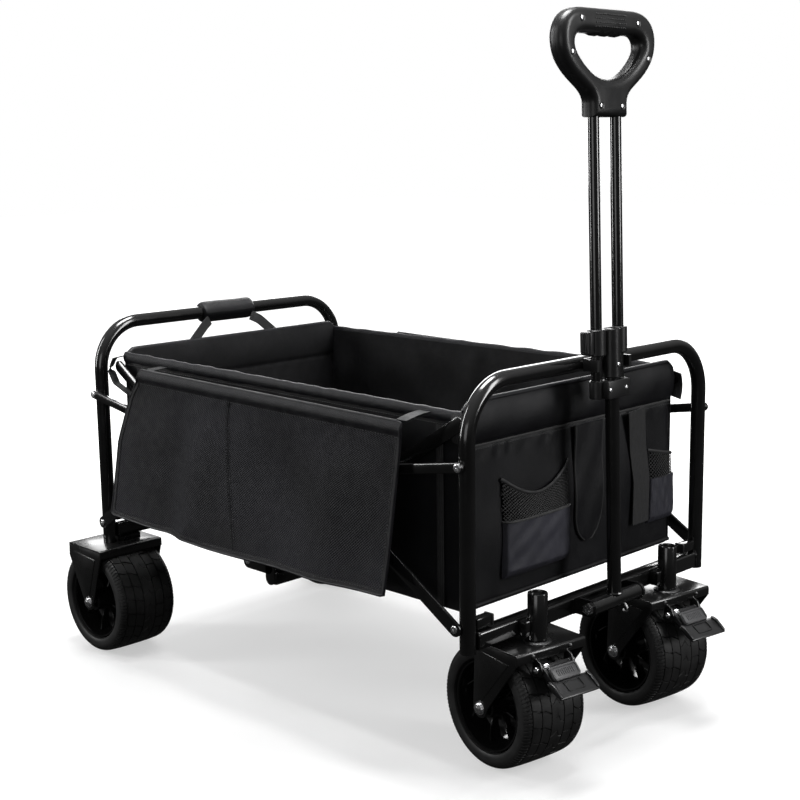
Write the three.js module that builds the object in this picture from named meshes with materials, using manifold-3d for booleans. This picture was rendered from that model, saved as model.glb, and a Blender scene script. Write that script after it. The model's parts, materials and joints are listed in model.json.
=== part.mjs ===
// A folding camp wagon: two tube hoops on wide wheels, joined on each side by a double scissor
// linkage, with a fabric basket between them and a telescoping pull handle in front.
// Millimetres, +Z up, +X towards the handle. Right is -Y and left is +Y.
import * as THREE from "three";
import { mergeVertices } from "three/addons/utils/BufferGeometryUtils.js";
import Module from "manifold-3d";

const wasm = await Module();
wasm.setup();

// ---- driving dimensions ----
const HOOP_SPACING = 828; // front hoop plane to rear hoop plane, wagon open
const FRONT_X = 401.7; // front hoop plane in the part's own frame
const GAP = 0.3; // running gap between touching pieces

const TUBE = 11; // radius of the hoop tube
const UPRIGHT_Y = 265;
const HOOP_TOP = 550; // centre line of the front hoop's top bar
const REAR_HOOP_TOP = 562; // the rear hoop stands a little higher
const HOOP_CORNER = 76; // centre line radius of the hoop's two bends
const FRONT_UPRIGHT_FOOT = 192;
const CROSS_BAR_Z = 207;
const CROSS_BAR_HALF = 12;

const WHEEL_RADIUS = 90;
const TYRE_HALF_WIDTH = 55;
const RIM_RADIUS = 65.5;
const AXLE_RADIUS = 6;
const REAR_WHEEL_Y = 251;

const STEM_X = 25.5;
const STEM_Y = 152.4;
const STEM_TUBE_RADIUS = 14;
const STEM_TUBE_TOP = 255;
const TRAIL = 48; // wheel centre behind the swivel axis
const SWIVEL = THREE.MathUtils.degToRad(-8); // both casters stand turned a little
const FORK_TOP = 186;
const FORK_THICKNESS = 3;
const FORK_HALF_WIDTH = 63;

const OPEN_ANGLE = THREE.MathUtils.degToRad(32); // scissor bars to the ground, wagon open
const FOLD_ANGLE = THREE.MathUtils.degToRad(46); // how far they turn until it is folded
const PIVOT_SETBACK = 10; // lower pivot behind the hoop plane
const LOWER_PIVOT_Z = 226;
const CROSSING = 264; // lower pivot to the crossing, along the bar
const LINK_PIVOT_Z = 445;
const BAR_HALF_WIDTH = 10;
const BAR_THICKNESS = 4.2;
const RIVET_RADIUS = 4;

const HANDLE_X = 41;
const HANDLE_Z = 211;
const HANDLE_LEAN = THREE.MathUtils.degToRad(-1.7);
const TWIN_Y = 24.7; // half spacing of the sliding tubes
const TWIN_X = -7;
const TWIN_RADIUS = 8;
const STALK_RADIUS = 10;
const BLOCK_BOTTOM = 352;
const BLOCK_TOP = 388;
const SLIDER_BOTTOM = 292;
const SLIDER_TOP = 317;
const GRIP_BOTTOM = 674;
const GRIP_TOP = 816;
const GRIP_HALF_DEPTH = 15;

const BASKET_FRONT = -30;
const BASKET_REAR = BASKET_FRONT - (HOOP_SPACING - 60);
const BASKET_HALF_WIDTH = 240;
const BASKET_BOTTOM = 240;
const BASKET_RIM = 520;
const SIDE_RIM = 510; // the long sides hang a little lower between the hoops
const PANEL = 4; // thickness of a basket panel
const FLOOR = 6;

// ---- materials ----
function material(color, roughness, metalness = 0) {
  return new THREE.MeshStandardMaterial({ color, roughness, metalness });
}
const powderCoat = material(0x0b0b0c, 0.28, 0.2);
const blackPlastic = material(0x1a1a1c, 0.45);
const gripPlastic = material(0x17181b, 0.4);
const tyreRubber = material(0x141416, 0.72);
const rimPlastic = material(0x060607, 0.2);
const boltSteel = material(0xc8cacc, 0.35, 0.9);
const oxford = material(0x131316, 0.85);
const meshCloth = material(0x1b1c20, 0.9);
const webbing = material(0x1d1e22, 0.8);

// ---- solids from three.js geometry ----
// One closed solid from a geometry whose faces join along shared points.
function solid(geometry) {
  const bare = new THREE.BufferGeometry();
  const loose = geometry.index ? geometry.toNonIndexed() : geometry;
  bare.setAttribute("position", loose.getAttribute("position"));
  const merged = mergeVertices(bare, 1e-3);
  const index = merged.index.array;
  const triVerts = [];
  for (let i = 0; i < index.length; i += 3) {
    const [a, b, c] = index.slice(i, i + 3);
    if (a !== b && b !== c && c !== a) triVerts.push(a, b, c);
  }
  const mesh = new wasm.Mesh({
    numProp: 3,
    vertProperties: merged.getAttribute("position").array,
    triVerts: new Uint32Array(triVerts),
  });
  return new wasm.Manifold(mesh);
}

function fuse(first, ...others) {
  return others.reduce((whole, piece) => whole.add(piece), first);
}

function cut(first, ...tools) {
  return tools.reduce((whole, tool) => whole.subtract(tool), first);
}

function box(low, high) {
  const size = high.map((value, i) => value - low[i]);
  const geometry = new THREE.BoxGeometry(...size);
  geometry.translate(...low.map((value, i) => value + size[i] / 2));
  return solid(geometry);
}

// A round bar from one point to another.
function rod(start, end, radius, sides = 20) {
  const from = new THREE.Vector3(...start);
  const to = new THREE.Vector3(...end);
  const along = to.clone().sub(from);
  const geometry = new THREE.CylinderGeometry(radius, radius, along.length(), sides);
  const turn = new THREE.Quaternion().setFromUnitVectors(
    new THREE.Vector3(0, 1, 0),
    along.clone().normalize(),
  );
  geometry.applyQuaternion(turn);
  const middle = from.add(to).divideScalar(2);
  geometry.translate(middle.x, middle.y, middle.z);
  return solid(geometry);
}

const AXIS_X = new THREE.Vector3(1, 0, 0);
const AXIS_Y = new THREE.Vector3(0, 1, 0);
const AXIS_Z = new THREE.Vector3(0, 0, 1);

// An outline drawn in XY, extruded along Z.
function slabZ(shape, low, high, curveSegments = 8) {
  const options = { depth: high - low, bevelEnabled: false, curveSegments };
  return solid(new THREE.ExtrudeGeometry(shape, options).translate(0, 0, low));
}

// An outline drawn in XZ, extruded along Y between two distances given in any order.
function slabY(shape, one, other, curveSegments = 6) {
  const options = { depth: Math.abs(one - other), bevelEnabled: false, curveSegments };
  const geometry = new THREE.ExtrudeGeometry(shape, options);
  const basis = new THREE.Matrix4().makeBasis(AXIS_X, AXIS_Z, AXIS_Y.clone().negate());
  geometry.applyMatrix4(basis);
  return solid(geometry.translate(0, Math.max(one, other), 0));
}

// An outline drawn in YZ, extruded along X.
function slabX(shape, low, high, curveSegments = 8) {
  const options = { depth: high - low, bevelEnabled: false, curveSegments };
  const geometry = new THREE.ExtrudeGeometry(shape, options);
  geometry.applyMatrix4(new THREE.Matrix4().makeBasis(AXIS_Y, AXIS_Z, AXIS_X));
  return solid(geometry.translate(low, 0, 0));
}

// A solid turned about the Y axis through (x, z) = center, from a closed profile of [radius, y].
function turned(profile, center, segments) {
  const points = [...profile, profile[0]].map(([r, y]) => new THREE.Vector2(r, y));
  const geometry = new THREE.LatheGeometry(points, segments);
  return solid(geometry.translate(center[0], 0, center[1]));
}

// The outline of a flat bar with round ends between two points.
function barShape(from, to, halfWidth) {
  const angle = Math.atan2(to[1] - from[1], to[0] - from[0]);
  const quarter = Math.PI / 2;
  const shape = new THREE.Shape();
  shape.absarc(to[0], to[1], halfWidth, angle - quarter, angle + quarter);
  shape.absarc(from[0], from[1], halfWidth, angle + quarter, angle + 3 * quarter);
  shape.closePath();
  return shape;
}

function polygon(points) {
  return new THREE.Shape(points.map(([u, v]) => new THREE.Vector2(u, v)));
}

// ---- the scene graph ----
const wagon = new THREE.Group();
wagon.position.x = FRONT_X;

function addPart(name, shape, look, parent = wagon) {
  const { vertProperties, triVerts } = shape.getMesh();
  const indexed = new THREE.BufferGeometry();
  indexed.setAttribute("position", new THREE.BufferAttribute(vertProperties, 3));
  indexed.setIndex(new THREE.BufferAttribute(triVerts, 1));
  const geometry = indexed.toNonIndexed();
  geometry.computeVertexNormals();
  const mesh = new THREE.Mesh(geometry, look);
  mesh.name = name;
  parent.add(mesh);
  return mesh;
}

const SIDES = [
  { side: "right", sign: -1 },
  { side: "left", sign: 1 },
];

// ---- hoops and cross bars ----
function hoop(x, foot, top) {
  const bend = HOOP_CORNER * 0.5523; // Bezier handle of a quarter circle
  const path = new THREE.CurvePath();
  const at = (y, z) => new THREE.Vector3(x, y, z);
  const springZ = top - HOOP_CORNER;
  const flatY = UPRIGHT_Y - HOOP_CORNER;
  path.add(new THREE.LineCurve3(at(-UPRIGHT_Y, foot), at(-UPRIGHT_Y, springZ)));
  path.add(
    new THREE.CubicBezierCurve3(
      at(-UPRIGHT_Y, springZ),
      at(-UPRIGHT_Y, springZ + bend),
      at(-flatY - bend, top),
      at(-flatY, top),
    ),
  );
  path.add(new THREE.LineCurve3(at(-flatY, top), at(flatY, top)));
  path.add(
    new THREE.CubicBezierCurve3(
      at(flatY, top),
      at(flatY + bend, top),
      at(UPRIGHT_Y, springZ + bend),
      at(UPRIGHT_Y, springZ),
    ),
  );
  path.add(new THREE.LineCurve3(at(UPRIGHT_Y, springZ), at(UPRIGHT_Y, foot)));
  const section = new THREE.Shape();
  section.absarc(0, 0, TUBE, 0, 2 * Math.PI, false);
  const options = { steps: 56, curveSegments: 20, bevelEnabled: false, extrudePath: path };
  return solid(new THREE.ExtrudeGeometry(section, options));
}

function crossBar(x) {
  const end = UPRIGHT_Y - TUBE - GAP;
  const low = [x - CROSS_BAR_HALF, -end, CROSS_BAR_Z - CROSS_BAR_HALF];
  const high = [x + TUBE, end, CROSS_BAR_Z + CROSS_BAR_HALF];
  return box(low, high);
}

addPart("front_hoop", hoop(0, FRONT_UPRIGHT_FOOT, HOOP_TOP), powderCoat);
addPart("front_cross_bar", crossBar(0), powderCoat);
addPart("rear_hoop", hoop(-HOOP_SPACING, FORK_TOP + GAP, REAR_HOOP_TOP), powderCoat);
addPart("rear_cross_bar", crossBar(-HOOP_SPACING), powderCoat);

// ---- wheels ----
// A tyre about a lateral axle at (x, z), with rounded shoulders.
function tyre(x) {
  const crown = WHEEL_RADIUS;
  const w = TYRE_HALF_WIDTH;
  const bead = RIM_RADIUS + GAP;
  const profile = [
    [bead, -w + 7],
    [RIM_RADIUS + 6, -w],
    [crown - 11, -w + 1],
    [crown - 3, -w + 8],
    [crown, -w + 22],
    [crown, w - 22],
    [crown - 3, w - 8],
    [crown - 11, w - 1],
    [RIM_RADIUS + 6, w],
    [bead, w - 7],
  ];
  return turned(profile, [x, WHEEL_RADIUS], 32);
}

// A dished rim with a long hub, bored for the axle.
function rim(x) {
  const bore = AXLE_RADIUS + GAP;
  const hub = 16;
  const hubHalf = TYRE_HALF_WIDTH - 1;
  const flange = TYRE_HALF_WIDTH - 5;
  const profile = [
    [bore, -hubHalf],
    [hub, -hubHalf],
    [hub + 2, -8],
    [RIM_RADIUS - 7, -14],
    [RIM_RADIUS - 5, -flange],
    [RIM_RADIUS, -flange],
    [RIM_RADIUS, flange],
    [RIM_RADIUS - 5, flange],
    [RIM_RADIUS - 7, 14],
    [hub + 2, 8],
    [hub, hubHalf],
    [bore, hubHalf],
  ];
  return turned(profile, [x, WHEEL_RADIUS], 24);
}

function axleBolt(x) {
  const inner = FORK_HALF_WIDTH + GAP;
  const outer = inner + 5;
  const head = 9;
  const at = (y) => [x, y, WHEEL_RADIUS];
  return fuse(
    rod(at(-inner - 1), at(inner + 1), AXLE_RADIUS),
    rod(at(inner), at(outer), head, 6),
    rod(at(-outer), at(-inner), head, 6),
  );
}

// A bent sheet fork: top plate, two arms down to the axle, and a lip folded down in front.
function fork(wheelX, plateFront, plateRear) {
  const w = FORK_HALF_WIDTH;
  const t = FORK_THICKNESS;
  const under = FORK_TOP - t;
  const plate = box([plateRear, -w, under], [plateFront, w, FORK_TOP]);
  const lip = box([plateFront - t, -w, FORK_TOP - 14], [plateFront, w, FORK_TOP]);
  const eye = 14;
  const arm = new THREE.Shape();
  arm.moveTo(plateFront - t, FORK_TOP - 1);
  arm.lineTo(plateRear, FORK_TOP - 1);
  arm.lineTo(plateRear, FORK_TOP - 26);
  arm.lineTo(wheelX - eye, WHEEL_RADIUS);
  arm.absarc(wheelX, WHEEL_RADIUS, eye, Math.PI, 2 * Math.PI);
  arm.lineTo(plateFront - t, FORK_TOP - 14);
  arm.closePath();
  const axle = (y) => [wheelX, y, WHEEL_RADIUS];
  const bore = rod(axle(-w - 1), axle(w + 1), AXLE_RADIUS + GAP);
  return cut(fuse(plate, lip, slabY(arm, -w, -w + t), slabY(arm, w, w - t)), bore);
}

for (const { side, sign } of SIDES) {
  const y = sign * REAR_WHEEL_Y;
  const wheel = new THREE.Group();
  wheel.position.set(-HOOP_SPACING, y, 0);
  wagon.add(wheel);
  const pad = box([-10, -42, FORK_TOP - 1], [10, 0, CROSS_BAR_Z - CROSS_BAR_HALF - GAP]);
  const inboard = sign > 0 ? pad : pad.mirror([0, 1, 0]);
  addPart(`rear_fork_${side}`, fuse(fork(0, 42, -52), inboard), powderCoat, wheel);
  addPart(`rear_axle_bolt_${side}`, axleBolt(0), boltSteel, wheel);
  addPart(`rear_tyre_${side}`, tyre(0), tyreRubber, wheel);
  addPart(`rear_rim_${side}`, rim(0), rimPlastic, wheel);
}

// ---- casters and their brakes ----
const BRAKE_PIVOT_X = 33;
const BRAKE_PIVOT_Z = 161;
const BRAKE_EAR_Y = 27;

// The swivelling fork, with its king pin and the two ears that carry the brake pedal.
function casterFork() {
  const front = 28.5;
  const bearing = rod([0, 0, FORK_TOP - 1], [0, 0, FORK_TOP + 2.7], 17);
  const kingPin = rod([0, 0, FORK_TOP - 1], [0, 0, STEM_TUBE_TOP - 14], 10.5);
  const ear = polygon([
    [front - 2, FORK_TOP - 1],
    [front - 8, 152],
    [BRAKE_PIVOT_X + 4, 152],
    [BRAKE_PIVOT_X + 9, 160],
    [BRAKE_PIVOT_X + 4, 172],
    [front, 174],
  ]);
  const ears = SIDES.map(({ sign }) => slabY(ear, sign * BRAKE_EAR_Y, sign * (BRAKE_EAR_Y + 3)));
  const pinBore = rod(
    [BRAKE_PIVOT_X, -40, BRAKE_PIVOT_Z],
    [BRAKE_PIVOT_X, 40, BRAKE_PIVOT_Z],
    RIVET_RADIUS + GAP,
  );
  return cut(fuse(fork(-TRAIL, front, -58), bearing, kingPin, ...ears), pinBore);
}

// A foot pedal with a raised release pad above it, on a pin through the fork's ears.
function brakePedal() {
  const width = BRAKE_EAR_Y - 1;
  const tread = polygon([
    [30, 156],
    [37, 153],
    [84, 133],
    [85, 137],
    [44, 160],
    [33, 167],
  ]);
  const pad = polygon([
    [36, 158],
    [52, 148],
    [64, 149],
    [64, 153],
    [42, 168],
    [36, 168],
  ]);
  const foot = polygon([
    [62, 142.5],
    [84, 133],
    [85, 137],
    [63, 149],
  ]);
  const pin = rod(
    [BRAKE_PIVOT_X, -BRAKE_EAR_Y - 6, BRAKE_PIVOT_Z],
    [BRAKE_PIVOT_X, BRAKE_EAR_Y + 6, BRAKE_PIVOT_Z],
    RIVET_RADIUS,
    12,
  );
  return fuse(
    slabY(tread, -width, width),
    slabY(pad, -width + 4, width - 4),
    slabY(foot, -36, 36),
    pin,
  );
}

// An open-topped tube for the king pin, with a plate that welds it to the cross bar.
function stemTube(y) {
  const foot = FORK_TOP + 3;
  const tube = rod([STEM_X, y, foot], [STEM_X, y, STEM_TUBE_TOP], STEM_TUBE_RADIUS, 24);
  const gusset = box(
    [TUBE + GAP, y - 24, CROSS_BAR_Z - CROSS_BAR_HALF],
    [STEM_X + 2, y + 24, CROSS_BAR_Z + CROSS_BAR_HALF],
  );
  const bore = rod([STEM_X, y, foot - 1], [STEM_X, y, STEM_TUBE_TOP + 1], 11, 24);
  return cut(fuse(tube, gusset), bore);
}

for (const { side, sign } of SIDES) {
  addPart(`caster_stem_tube_${side}`, stemTube(sign * STEM_Y), powderCoat);
  const caster = new THREE.Group();
  caster.position.set(STEM_X, sign * STEM_Y, 0);
  caster.rotation.z = SWIVEL;
  wagon.add(caster);
  addPart(`caster_fork_${side}`, casterFork(), powderCoat, caster);
  addPart(`brake_pedal_${side}`, brakePedal(), blackPlastic, caster);
  addPart(`front_axle_bolt_${side}`, axleBolt(-TRAIL), boltSteel, caster);
  addPart(`front_tyre_${side}`, tyre(-TRAIL), tyreRubber, caster);
  addPart(`front_rim_${side}`, rim(-TRAIL), rimPlastic, caster);
}

// ---- scissor linkage ----
// The lower bars (hoop foot to top centre hinge) run outside the uprights, the upper bars (bottom
// centre hinge to hoop shoulder) inside them. Front and rear bars lap at the centre hinges.
const CENTRE_X = -HOOP_SPACING / 2;
const BAR_LENGTH = (HOOP_SPACING / 2 - PIVOT_SETBACK) / Math.cos(OPEN_ANGLE);
const OUTER_FACE = UPRIGHT_Y + TUBE;
const INNER_LAYER = 243.2;

// Where the short link meets the upper bar, past the crossing, so that the link keeps its length
// both open and folded.
function linkOffset() {
  const shut = OPEN_ANGLE + FOLD_ANGLE;
  const closing = PIVOT_SETBACK * (Math.cos(OPEN_ANGLE) - Math.cos(shut));
  const rise = (LINK_PIVOT_Z - LOWER_PIVOT_Z) * (Math.sin(shut) - Math.sin(OPEN_ANGLE));
  const spread = 2 * CROSSING * (Math.sin(shut) ** 2 - Math.sin(OPEN_ANGLE) ** 2);
  return (CROSSING * (closing + rise)) / (closing + spread - rise);
}

// A point of the front half, given how far out from the lower pivot it lies along each bar.
function latticePoint(outward, upward) {
  const x = -PIVOT_SETBACK - outward * Math.cos(OPEN_ANGLE);
  return [x, LOWER_PIVOT_Z + upward * Math.sin(OPEN_ANGLE)];
}
const LOWER_PIVOT = latticePoint(0, 0);
const TOP_HINGE = latticePoint(BAR_LENGTH, BAR_LENGTH);
const BOTTOM_HINGE = latticePoint(BAR_LENGTH, 2 * CROSSING - BAR_LENGTH);
const CROSS_POINT = latticePoint(CROSSING, CROSSING);
const UPPER_END = latticePoint(26, 2 * CROSSING - 26);
const LINK_END = latticePoint(CROSSING - linkOffset(), CROSSING + linkOffset());

for (const { side, sign } of SIDES) {
  for (const end of ["front", "rear"]) {
    const lap = end === "front" ? 0 : BAR_THICKNESS + GAP;
    // Rear pieces are the front ones reflected in the middle plane.
    const at = ([x, z]) => [end === "front" ? x : 2 * CENTRE_X - x, z];
    const pinAt = (point, from, to, radius) => {
      const [x, z] = at(point);
      return rod([x, sign * from, z], [x, sign * to, z], radius, 12);
    };
    const outer = OUTER_FACE + GAP + lap;
    const outside = outer + BAR_THICKNESS;
    const inner = INNER_LAYER + lap;
    const innerFace = inner + BAR_THICKNESS;

    const lowerBar = fuse(
      slabY(barShape(at(LOWER_PIVOT), at(TOP_HINGE), BAR_HALF_WIDTH), sign * outer, sign * outside),
      pinAt(LOWER_PIVOT, OUTER_FACE + GAP, outside + 2.5, RIVET_RADIUS + 1.5),
      pinAt(CROSS_POINT, innerFace + GAP, outside + 1.5, RIVET_RADIUS + 1.5),
    );
    addPart(`lower_bar_${end}_${side}`, lowerBar, powderCoat);

    const upperBar = slabY(
      barShape(at(BOTTOM_HINGE), at(UPPER_END), BAR_HALF_WIDTH),
      sign * inner,
      sign * innerFace,
    );
    addPart(`upper_bar_${end}_${side}`, upperBar, powderCoat);

    const linkFace = OUTER_FACE + GAP;
    const link = fuse(
      slabY(barShape(at([0, LINK_PIVOT_Z]), at(LINK_END), 7), sign * linkFace, sign * (linkFace + 7)),
      pinAt([0, LINK_PIVOT_Z], linkFace + 6, linkFace + 9, RIVET_RADIUS + 1),
      pinAt(LINK_END, innerFace + GAP, linkFace + 1, RIVET_RADIUS),
    );
    addPart(`short_link_${end}_${side}`, link, powderCoat);
  }
}

// The bar under the middle of the floor, hung between the two bottom hinges.
function centreFloorBar() {
  const reach = INNER_LAYER + 2 * (BAR_THICKNESS + GAP);
  const plateOutside = reach + 3.3;
  const tubeZ = 205;
  const bar = box([CENTRE_X - 10, -reach - 1, tubeZ - 10], [CENTRE_X + 10, reach + 1, tubeZ + 10]);
  const plates = SIDES.map(({ sign }) => {
    const shape = barShape([CENTRE_X, tubeZ + 4], BOTTOM_HINGE, 14);
    return slabY(shape, sign * reach, sign * plateOutside);
  });
  const rivets = SIDES.map(({ sign }) => {
    const [x, z] = BOTTOM_HINGE;
    return rod([x, sign * reach, z], [x, sign * (plateOutside + 2.5), z], RIVET_RADIUS + 2, 12);
  });
  return fuse(bar, ...plates, ...rivets);
}
addPart("centre_floor_bar", centreFloorBar(), powderCoat);

// ---- handle: bracket and cradle on the frame ----
function handleBracket() {
  const earY = 54;
  const ear = barShape([TUBE + 12, HANDLE_Z], [HANDLE_X, HANDLE_Z], 12);
  const base = box([TUBE + GAP, -60, HANDLE_Z - 13], [TUBE + 4, 60, HANDLE_Z + 7]);
  const ears = SIDES.map(({ sign }) => {
    const tail = box(
      [TUBE + GAP, sign > 0 ? earY : -earY - 4, HANDLE_Z - 12],
      [TUBE + 12, sign > 0 ? earY + 4 : -earY, HANDLE_Z + 7],
    );
    return fuse(slabY(ear, sign * earY, sign * (earY + 4)), tail);
  });
  const clear = box([-1, -70, 150], [TUBE + GAP, 70, 260]);
  const bore = rod([HANDLE_X, -70, HANDLE_Z], [HANDLE_X, 70, HANDLE_Z], 5 + GAP);
  return cut(fuse(base, ...ears), bore, clear);
}
addPart("handle_bracket", handleBracket(), powderCoat);

const boltAt = (y) => [HANDLE_X, y, HANDLE_Z];
const pivotBolt = fuse(
  rod(boltAt(-60), boltAt(60), 5, 16),
  rod(boltAt(58 + GAP), boltAt(63), 8.5, 6),
  rod(boltAt(-63), boltAt(-58 - GAP), 8.5, 6),
);
addPart("handle_pivot_bolt", pivotBolt, boltSteel);

const cradle = fuse(
  box([TUBE + GAP, -39, HOOP_TOP - 9], [TUBE + 4, 39, HOOP_TOP + 9]),
  box([TUBE + 1, -39, HOOP_TOP - 8], [36, -34, HOOP_TOP + 8]),
  box([TUBE + 1, 34, HOOP_TOP - 8], [36, 39, HOOP_TOP + 8]),
);
addPart("handle_cradle", cradle, blackPlastic);

// ---- handle: everything that swings, in a group about the pivot ----
const handle = new THREE.Group();
handle.position.set(HANDLE_X, 0, HANDLE_Z);
handle.rotation.y = HANDLE_LEAN;
wagon.add(handle);

function upright(x, y, low, high, radius, sides) {
  return rod([x, y, low], [x, y, high], radius, sides);
}

const stalk = cut(
  fuse(rod([0, -53, 0], [0, 53, 0], 11, 24), upright(0, 0, 4, BLOCK_TOP - 8, STALK_RADIUS, 20)),
  rod([0, -54, 0], [0, 54, 0], 5.4, 16),
);
addPart("handle_stalk", stalk, powderCoat, handle);

function twinBores(low, high, radius) {
  return SIDES.map(({ sign }) => upright(TWIN_X, sign * TWIN_Y, low, high, radius, 20));
}

// The guide block: two bosses for the sliding tubes, a web, and a collar round the stalk. A pocket
// in its right boss takes the release lever's stem.
const BOSS_RADIUS = 13;
const COLUMN_RADIUS = 12.5;
const BOSS_FACE = -TWIN_Y - BOSS_RADIUS;
const STEM_HALF_WIDTH = 4;
const STEM_LOW = BLOCK_BOTTOM + 9;
const STEM_HIGH = BLOCK_TOP - 9;
function guideBlock() {
  const bosses = twinBores(BLOCK_BOTTOM, BLOCK_TOP, BOSS_RADIUS);
  const pocketDepth = 3.6;
  const pocket = box(
    [TWIN_X - STEM_HALF_WIDTH - GAP, BOSS_FACE - 1, STEM_LOW - GAP],
    [TWIN_X + STEM_HALF_WIDTH + GAP, BOSS_FACE + pocketDepth, STEM_HIGH + GAP],
  );
  const web = box([TWIN_X - 9, -TWIN_Y, BLOCK_BOTTOM], [TWIN_X + 9, TWIN_Y, BLOCK_TOP]);
  const column = upright(0, 0, BLOCK_BOTTOM - 32, BLOCK_TOP, COLUMN_RADIUS, 24);
  const stalkBore = upright(0, 0, BLOCK_BOTTOM - 40, BLOCK_TOP - 7, STALK_RADIUS + GAP, 20);
  const slots = twinBores(BLOCK_BOTTOM - 1, BLOCK_TOP + 1, TWIN_RADIUS + 0.5);
  return cut(fuse(web, column, ...bosses), stalkBore, pocket, ...slots);
}
addPart("handle_guide_block", guideBlock(), blackPlastic, handle);

// The squeeze lever on the block's right side, held off the block by the travel of its stem.
function releaseLever() {
  const root = BOSS_FACE - 3.6;
  const halfWidth = 9;
  const outline = new THREE.Shape();
  outline.moveTo(TWIN_X + halfWidth, root);
  outline.lineTo(TWIN_X - halfWidth, root);
  outline.lineTo(TWIN_X - halfWidth, root - 7);
  outline.quadraticCurveTo(TWIN_X, root - 17, TWIN_X + halfWidth, root - 7);
  outline.closePath();
  const stem = box(
    [TWIN_X - STEM_HALF_WIDTH, root - 1, STEM_LOW],
    [TWIN_X + STEM_HALF_WIDTH, BOSS_FACE + GAP, STEM_HIGH],
  );
  return fuse(slabZ(outline, BLOCK_BOTTOM + 3, BLOCK_TOP - 1), stem);
}
addPart("release_lever", releaseLever(), blackPlastic, handle);

const SOCKET_FLOOR = 4; // closed end of the shoe's sockets
const GRIP_SOCKET = 26; // how far the sliding tubes reach into the grip
for (const { side, sign } of SIDES) {
  const foot = SLIDER_BOTTOM + SOCKET_FLOOR;
  const head = GRIP_BOTTOM + GRIP_SOCKET;
  const tube = upright(TWIN_X, sign * TWIN_Y, foot, head, TWIN_RADIUS, 20);
  addPart(`sliding_tube_${side}`, tube, powderCoat, handle);
}

// The shoe that ties the sliding tubes' lower ends together and runs on the stalk.
const SHOE_FACE = 13.5;
const SHOE_WALL = 2.5;
function sliderShoe() {
  const bosses = twinBores(SLIDER_BOTTOM, SLIDER_TOP, TWIN_RADIUS + SHOE_WALL);
  const plate = box([TWIN_X - 8, -TWIN_Y, SLIDER_BOTTOM], [SHOE_FACE, TWIN_Y, SLIDER_TOP]);
  const stalkBore = upright(0, 0, SLIDER_BOTTOM - 1, SLIDER_TOP + 1, STALK_RADIUS + 0.5, 20);
  const sockets = twinBores(SLIDER_BOTTOM + SOCKET_FLOOR - GAP, SLIDER_TOP + 1, TWIN_RADIUS + GAP);
  return cut(fuse(plate, ...bosses), stalkBore, ...sockets);
}
addPart("slider_shoe", sliderShoe(), blackPlastic, handle);

// The outline of the D grip, drawn as its right half and then back along its left half.
function gripShape() {
  const neck = 38;
  const shape = new THREE.Shape();
  shape.moveTo(-neck, GRIP_BOTTOM);
  shape.lineTo(neck, GRIP_BOTTOM);
  shape.lineTo(neck, GRIP_BOTTOM + 18);
  shape.bezierCurveTo(neck, 710, 68, 716, 89, 739);
  shape.bezierCurveTo(114, 764, 112, GRIP_TOP, 55, GRIP_TOP);
  shape.lineTo(-55, GRIP_TOP);
  shape.bezierCurveTo(-112, GRIP_TOP, -114, 764, -89, 739);
  shape.bezierCurveTo(-68, 716, -neck, 710, -neck, GRIP_BOTTOM + 18);
  shape.closePath();
  const opening = new THREE.Path();
  opening.moveTo(-52, 783);
  opening.bezierCurveTo(-74, 783, -80, 770, -67, 756);
  opening.bezierCurveTo(-52, 740, -30, 724, 0, 724);
  opening.bezierCurveTo(30, 724, 52, 740, 67, 756);
  opening.bezierCurveTo(80, 770, 74, 783, 52, 783);
  opening.closePath();
  shape.holes.push(opening);
  return shape;
}

const gripSockets = twinBores(GRIP_BOTTOM - 1, GRIP_BOTTOM + GRIP_SOCKET + 1, TWIN_RADIUS + GAP);
const gripSplit = GAP / 2;
const gripFront = slabX(gripShape(), TWIN_X + gripSplit, TWIN_X + GRIP_HALF_DEPTH, 6);
const gripRear = slabX(gripShape(), TWIN_X - GRIP_HALF_DEPTH, TWIN_X - gripSplit, 6);
addPart("grip_front_shell", cut(gripFront, ...gripSockets), gripPlastic, handle);
addPart("grip_rear_shell", cut(gripRear, ...gripSockets), gripPlastic, handle);

// ---- basket ----
const wallFront = BASKET_FRONT - PANEL - GAP;
const frontPanel = box(
  [BASKET_FRONT - PANEL, -BASKET_HALF_WIDTH, BASKET_BOTTOM],
  [BASKET_FRONT, BASKET_HALF_WIDTH, BASKET_RIM],
);
addPart("basket_front_panel", frontPanel, oxford);

// The rear panel slides forward inside the side panels as the wagon folds.
const slideGap = 0.5;
const rearHalf = BASKET_HALF_WIDTH - PANEL - slideGap;
const rearPanel = box(
  [BASKET_REAR, -rearHalf, BASKET_BOTTOM + FLOOR + slideGap],
  [BASKET_REAR + PANEL, rearHalf, BASKET_RIM],
);
addPart("basket_rear_panel", rearPanel, oxford);

const floorHalf = BASKET_HALF_WIDTH - PANEL - GAP;
const floor = box(
  [BASKET_REAR + PANEL + GAP, -floorHalf, BASKET_BOTTOM],
  [wallFront, floorHalf, BASKET_BOTTOM + FLOOR],
);
addPart("basket_floor", floor, oxford);

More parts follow.
